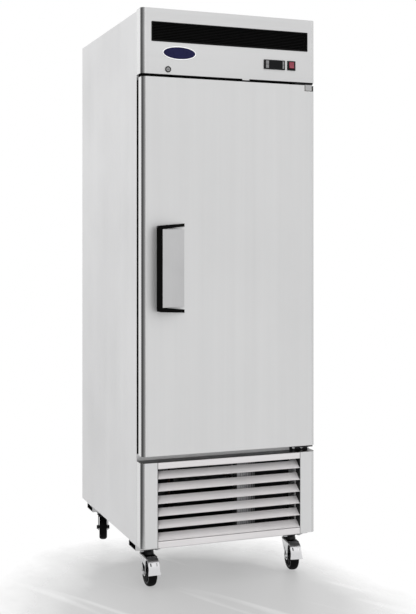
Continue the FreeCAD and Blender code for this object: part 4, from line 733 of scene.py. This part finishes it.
# ---- fans, coils and lamp -----------------------------------------------------------
def fan_rotor(joint_name, body, node, radius, blades, swept):
    """A cupped hub and pitched, cambered blades about the joint's axis."""
    place = axis_place(joint_name)
    hub, thick, deep = 16.0, 0.7, 5.2
    bm = bmesh.new()
    cup = [(3.05, -6), (3.05, 6.9), (hub - 3, 6.9), (hub - 0.8, 6.2), (hub, 4.5), (hub, -6.9),
           (hub - 1.5, -6.9), (hub - 1.5, 3), (6, 3), (6, -6)]
    lathe(bm, cup, place, 40)
    rows, columns = 8, 8
    for k in range(blades):
        base = 2 * math.pi * k / blades
        rings = []
        for i in range(rows + 1):
            r = hub - 0.6 + (radius - 1 - hub) * i / rows
            half_angle = swept * (0.55 + 0.45 * math.sin(math.pi * min(i / rows * 0.62 + 0.15, 1)))
            ring = []
            for side in (1, -1):
                for j in range(columns + 1):
                    c = (-1 + 2 * j / columns) * side
                    turn = base + c * half_angle + 0.18 * i / rows
                    pitched = deep * c * (1 - 0.25 * i / rows)
                    cambered = 1.0 * (1 - c * c)
                    along = pitched + cambered + side * thick / 2 * (1 - 0.6 * abs(c))
                    ring.append(bm.verts.new(place(r * math.cos(turn), r * math.sin(turn), along)))
            rings.append(ring)
        skin(bm, rings)
        bm.faces.new(rings[0])
        bm.faces.new(rings[-1])
    piece(node + "_rotor", bm, black_plastic, body, [node], 0.2, 60)


def finned_block(name, node, finish, xs, ys, zs, pitch, rows, columns):
    """Thin upright plates with tubes through them, between two end plates."""
    tube = 4.2
    bm = bmesh.new()
    count = int((xs[1] - xs[0]) / pitch)
    for i in range(1, count):
        x = xs[0] + (xs[1] - xs[0]) * i / count
        block(bm, (x - 0.2, x + 0.2), ys, (zs[0] + 2, zs[1] - 2))
    for x in (xs[0] + 0.75, xs[1] - 0.75):
        block(bm, (x - 0.7, x + 0.7), (ys[0] - 1.5, ys[1] + 1.5), zs)
    piece(name + "_fins", bm, finish, "cabinet", [node])
    bm = bmesh.new()
    for row in range(rows):
        z = zs[0] + (zs[1] - zs[0]) * (row + 0.5) / rows
        for column in range(columns):
            y = ys[0] + (ys[1] - ys[0]) * (column + 0.5) / columns
            circle = [(y + tube * math.cos(math.pi * k / 6), z + tube * math.sin(math.pi * k / 6))
                      for k in range(12)]
            prism(bm, circle, xs[0] - 1, xs[1] + 1, along_x)
    piece(name + "_tubes", bm, copper_in_painted_shade, "cabinet")


fan_rotor("evaporator_fan_spin", "evaporator_fan_rotor", "evaporator_fan", 60.0, 5, 0.50)
fan_rotor("condenser_fan_spin", "condenser_fan_rotor", "condenser_fan", 100.0, 5, 0.46)
condenser_xs, condenser_ys, condenser_zs = limits("condenser")
finned_block("condenser", "condenser", black_fins, condenser_xs, (condenser_ys[0] + 8, condenser_ys[1] - 6),
             condenser_zs, 3.0, 8, 2)


def condenser_guard():
    """The slotted guard at the coil's left, whose slots widen to the right, seen through the louvres."""
    front = condenser_ys[0] + 0.5
    bm = bmesh.new()
    x = condenser_xs[0] + 0.3
    wide, slot = 12.0, 1.5
    while wide > 0.8:
        fold = [(x, front + 4), (x, front + 0.6), (x + 0.5, front), (x + wide - 0.5, front),
                (x + wide, front + 0.6), (x + wide, front + 4)]
        prism(bm, fold, condenser_zs[0] + 4, condenser_zs[1] - 4, along_z)
        x += wide + slot
        wide *= 0.74
        slot *= 1.22
    for z in (condenser_zs[0] + 1, condenser_zs[1] - 9):
        block(bm, (condenser_xs[0] + 0.3, x), (front + 0.2, front + 3.6), (z, z + 8))
    piece("condenser_guard", bm, dull_guard, "cabinet")


condenser_guard()


# ---- floor, light and camera --------------------------------------------------------
# The grey pool of shade on the floor: an ellipse's middle and half-axes, in metres.
POOL_MIDDLE = (-0.19, -0.55)
POOL_REACH = (0.68, 0.80)
STREAK_TURN = math.radians(62)
FLOOR_PAINT = (0.20, 0.20, 0.20)
FLOOR_GLOW = 0.38


def floor():
    """A pale floor: lit paint near the object, with a glow of its own and faint streaks of light, that
    fades into the white studio."""
    mesh = bpy.data.meshes.new("floor")
    far = 40.0
    mesh.from_pydata([(-far, -far, 0), (far, -far, 0), (far, far, 0), (-far, far, 0)], [], [(0, 1, 2, 3)])
    obj = bpy.data.objects.new("floor", mesh)
    bpy.context.scene.collection.objects.link(obj)
    material = bpy.data.materials.new("pale_floor")
    material.use_nodes = True
    tree = material.node_tree
    shader = tree.nodes["Principled BSDF"]
    coords = tree.nodes.new("ShaderNodeTexCoord").outputs["Object"]
    pool = tree.nodes.new("ShaderNodeMapping")
    pool.inputs["Scale"].default_value = (1 / POOL_REACH[0], 1 / POOL_REACH[1], 0)
    pool.inputs["Location"].default_value = (-POOL_MIDDLE[0] / POOL_REACH[0],
                                             -POOL_MIDDLE[1] / POOL_REACH[1], 0)
    link(tree, coords, pool.inputs["Vector"])
    reach = tree.nodes.new("ShaderNodeVectorMath")
    reach.operation = "LENGTH"
    link(tree, pool.outputs["Vector"], reach.inputs[0])
    cloud = spread(tree, noise(tree, coords, (2.2, 1.6, 1.0), 4, 0.7), -0.10, 0.10)
    distance = arithmetic(tree, "ADD", reach.outputs["Value"], cloud)
    slant = tree.nodes.new("ShaderNodeMapping")
    slant.inputs["Rotation"].default_value = (0, 0, STREAK_TURN)
    link(tree, coords, slant.inputs["Vector"])
    bands = noise(tree, slant.outputs["Vector"], (0.9, 9.0, 1.0), 2, 5.3)
    streaks = spread(tree, bands, 0.0, 0.55, 0.56, 0.64)
    shade = spread(tree, distance, 0.88, 1.0, 0.0, 1.0)
    painted = tinted(tree, FLOOR_PAINT, arithmetic(tree, "ADD", shade, streaks))
    link(tree, painted, shader.inputs["Base Color"])
    shader.inputs["Roughness"].default_value = 0.45
    shader.inputs["Specular IOR Level"].default_value = 0.2
    shader.inputs["Emission Color"].default_value = (1, 1, 1, 1)
    shader.inputs["Emission Strength"].default_value = FLOOR_GLOW
    clear = tree.nodes.new("ShaderNodeBsdfTransparent")
    blend = tree.nodes.new("ShaderNodeMixShader")
    link(tree, spread(tree, distance, 0.0, 1.0, 0.66, 1.08), blend.inputs["Fac"])
    link(tree, shader.outputs["BSDF"], blend.inputs[1])
    link(tree, clear.outputs["BSDF"], blend.inputs[2])
    link(tree, blend.outputs["Shader"], tree.nodes["Material Output"].inputs["Surface"])
    mesh.materials.append(material)


# Strength of the studio all round, by heading in degrees: 0 is the front, -90 the left
# and 180 the back. A dark screen stands at the left, and a dimmer one at the front left.
STUDIO = ((-180, 1.02), (-150, 1.10), (-136, 0.95), (-122, 0.14), (-62, 0.10), (-48, 0.30), (-12, 0.42),
          (4, 1.08), (24, 0.99), (50, 0.90), (90, 0.95), (180, 1.00))


def world():
    """White to the camera, and the studio's screens to everything else."""
    made = bpy.data.worlds.new("studio")
    bpy.context.scene.world = made
    made.use_nodes = True
    tree = made.node_tree
    tree.nodes.clear()
    coords = tree.nodes.new("ShaderNodeTexCoord").outputs["Generated"]
    parts = tree.nodes.new("ShaderNodeSeparateXYZ")
    link(tree, coords, parts.inputs["Vector"])
    ahead = arithmetic(tree, "MULTIPLY", parts.outputs["Y"], -1.0)
    heading = arithmetic(tree, "ARCTAN2", parts.outputs["X"], ahead)
    ramp = tree.nodes.new("ShaderNodeValToRGB")
    link(tree, spread(tree, heading, 0.0, 1.0, -math.pi, math.pi), ramp.inputs["Fac"])
    stops = ramp.color_ramp.elements
    for number, (degrees, strength) in enumerate(STUDIO):
        stop = stops[number] if number < 2 else stops.new(1.0)
        stop.position = (degrees + 180) / 360
        stop.color = (strength / 2, strength / 2, strength / 2, 1)
    overhead = spread(tree, parts.outputs["Z"], 0.0, 1.0, 0.30, 0.62)
    rising = spread(tree, parts.outputs["Z"], 1.78, 2.16, -0.3, 0.3)
    level = arithmetic(tree, "MULTIPLY", ramp.outputs["Color"], rising)
    lifted = tree.nodes.new("ShaderNodeMix")
    link(tree, overhead, lifted.inputs["Factor"])
    link(tree, level, lifted.inputs[2])
    lifted.inputs[3].default_value = 1.25
    lit = tree.nodes.new("ShaderNodeBackground")
    link(tree, lifted.outputs[0], lit.inputs["Strength"])
    plain = tree.nodes.new("ShaderNodeBackground")
    plain.inputs["Strength"].default_value = 1.0
    for node in (lit, plain):
        node.inputs["Color"].default_value = (1, 1, 1, 1)
    path = tree.nodes.new("ShaderNodeLightPath")
    blend = tree.nodes.new("ShaderNodeMixShader")
    link(tree, path.outputs["Is Camera Ray"], blend.inputs["Fac"])
    link(tree, lit.outputs["Background"], blend.inputs[1])
    link(tree, plain.outputs["Background"], blend.inputs[2])
    output = tree.nodes.new("ShaderNodeOutputWorld")
    link(tree, blend.outputs["Shader"], output.inputs["Surface"])


def area_light(name, place, target, width, height, power, mirrored=True):
    data = bpy.data.lights.new(name, "AREA")
    data.shape = "RECTANGLE"
    data.size = width
    data.size_y = height
    data.energy = power
    obj = bpy.data.objects.new(name, data)
    bpy.context.scene.collection.objects.link(obj)
    obj.location = place
    obj.visible_glossy = mirrored
    obj.rotation_euler = (Vector(target) - Vector(place)).to_track_quat("-Z", "Y").to_euler()


floor()
world()
area_light("overhead", (0.6, 0.6, 4.4), (0, 0, 0), 3.0, 3.0, 30.0)
area_light("low_front", (-3.4, -4.2, 0.9), (0.0, -0.4, 0.3), 0.9, 1.4, 70.0, mirrored=False)

# The camera stands where the photographed views of the faces meet in one perspective.
YAW = math.radians(19.86)
PITCH = math.radians(0.03)
EYE = Vector((-1.4847, -3.8513, 1.2275))
FRAME_LONG = 614
FOCAL = 1037
CENTRE_SHIFT = (36.8, -62.1)
SENSOR = 36.0

camera_data = bpy.data.cameras.new("camera")
camera_data.sensor_width = SENSOR
camera_data.lens = FOCAL * SENSOR / FRAME_LONG
camera_data.shift_x = CENTRE_SHIFT[0] / FRAME_LONG
camera_data.shift_y = CENTRE_SHIFT[1] / FRAME_LONG
camera_data.clip_end = 200.0
camera = bpy.data.objects.new("camera", camera_data)
bpy.context.scene.collection.objects.link(camera)
camera.matrix_world = (Matrix.Translation(EYE) @ Matrix.Rotation(-YAW, 4, "Z")
                       @ Matrix.Rotation(math.pi / 2 + PITCH, 4, "X"))
bpy.context.scene.camera = camera
bpy.context.scene.view_settings.view_transform = "Standard"
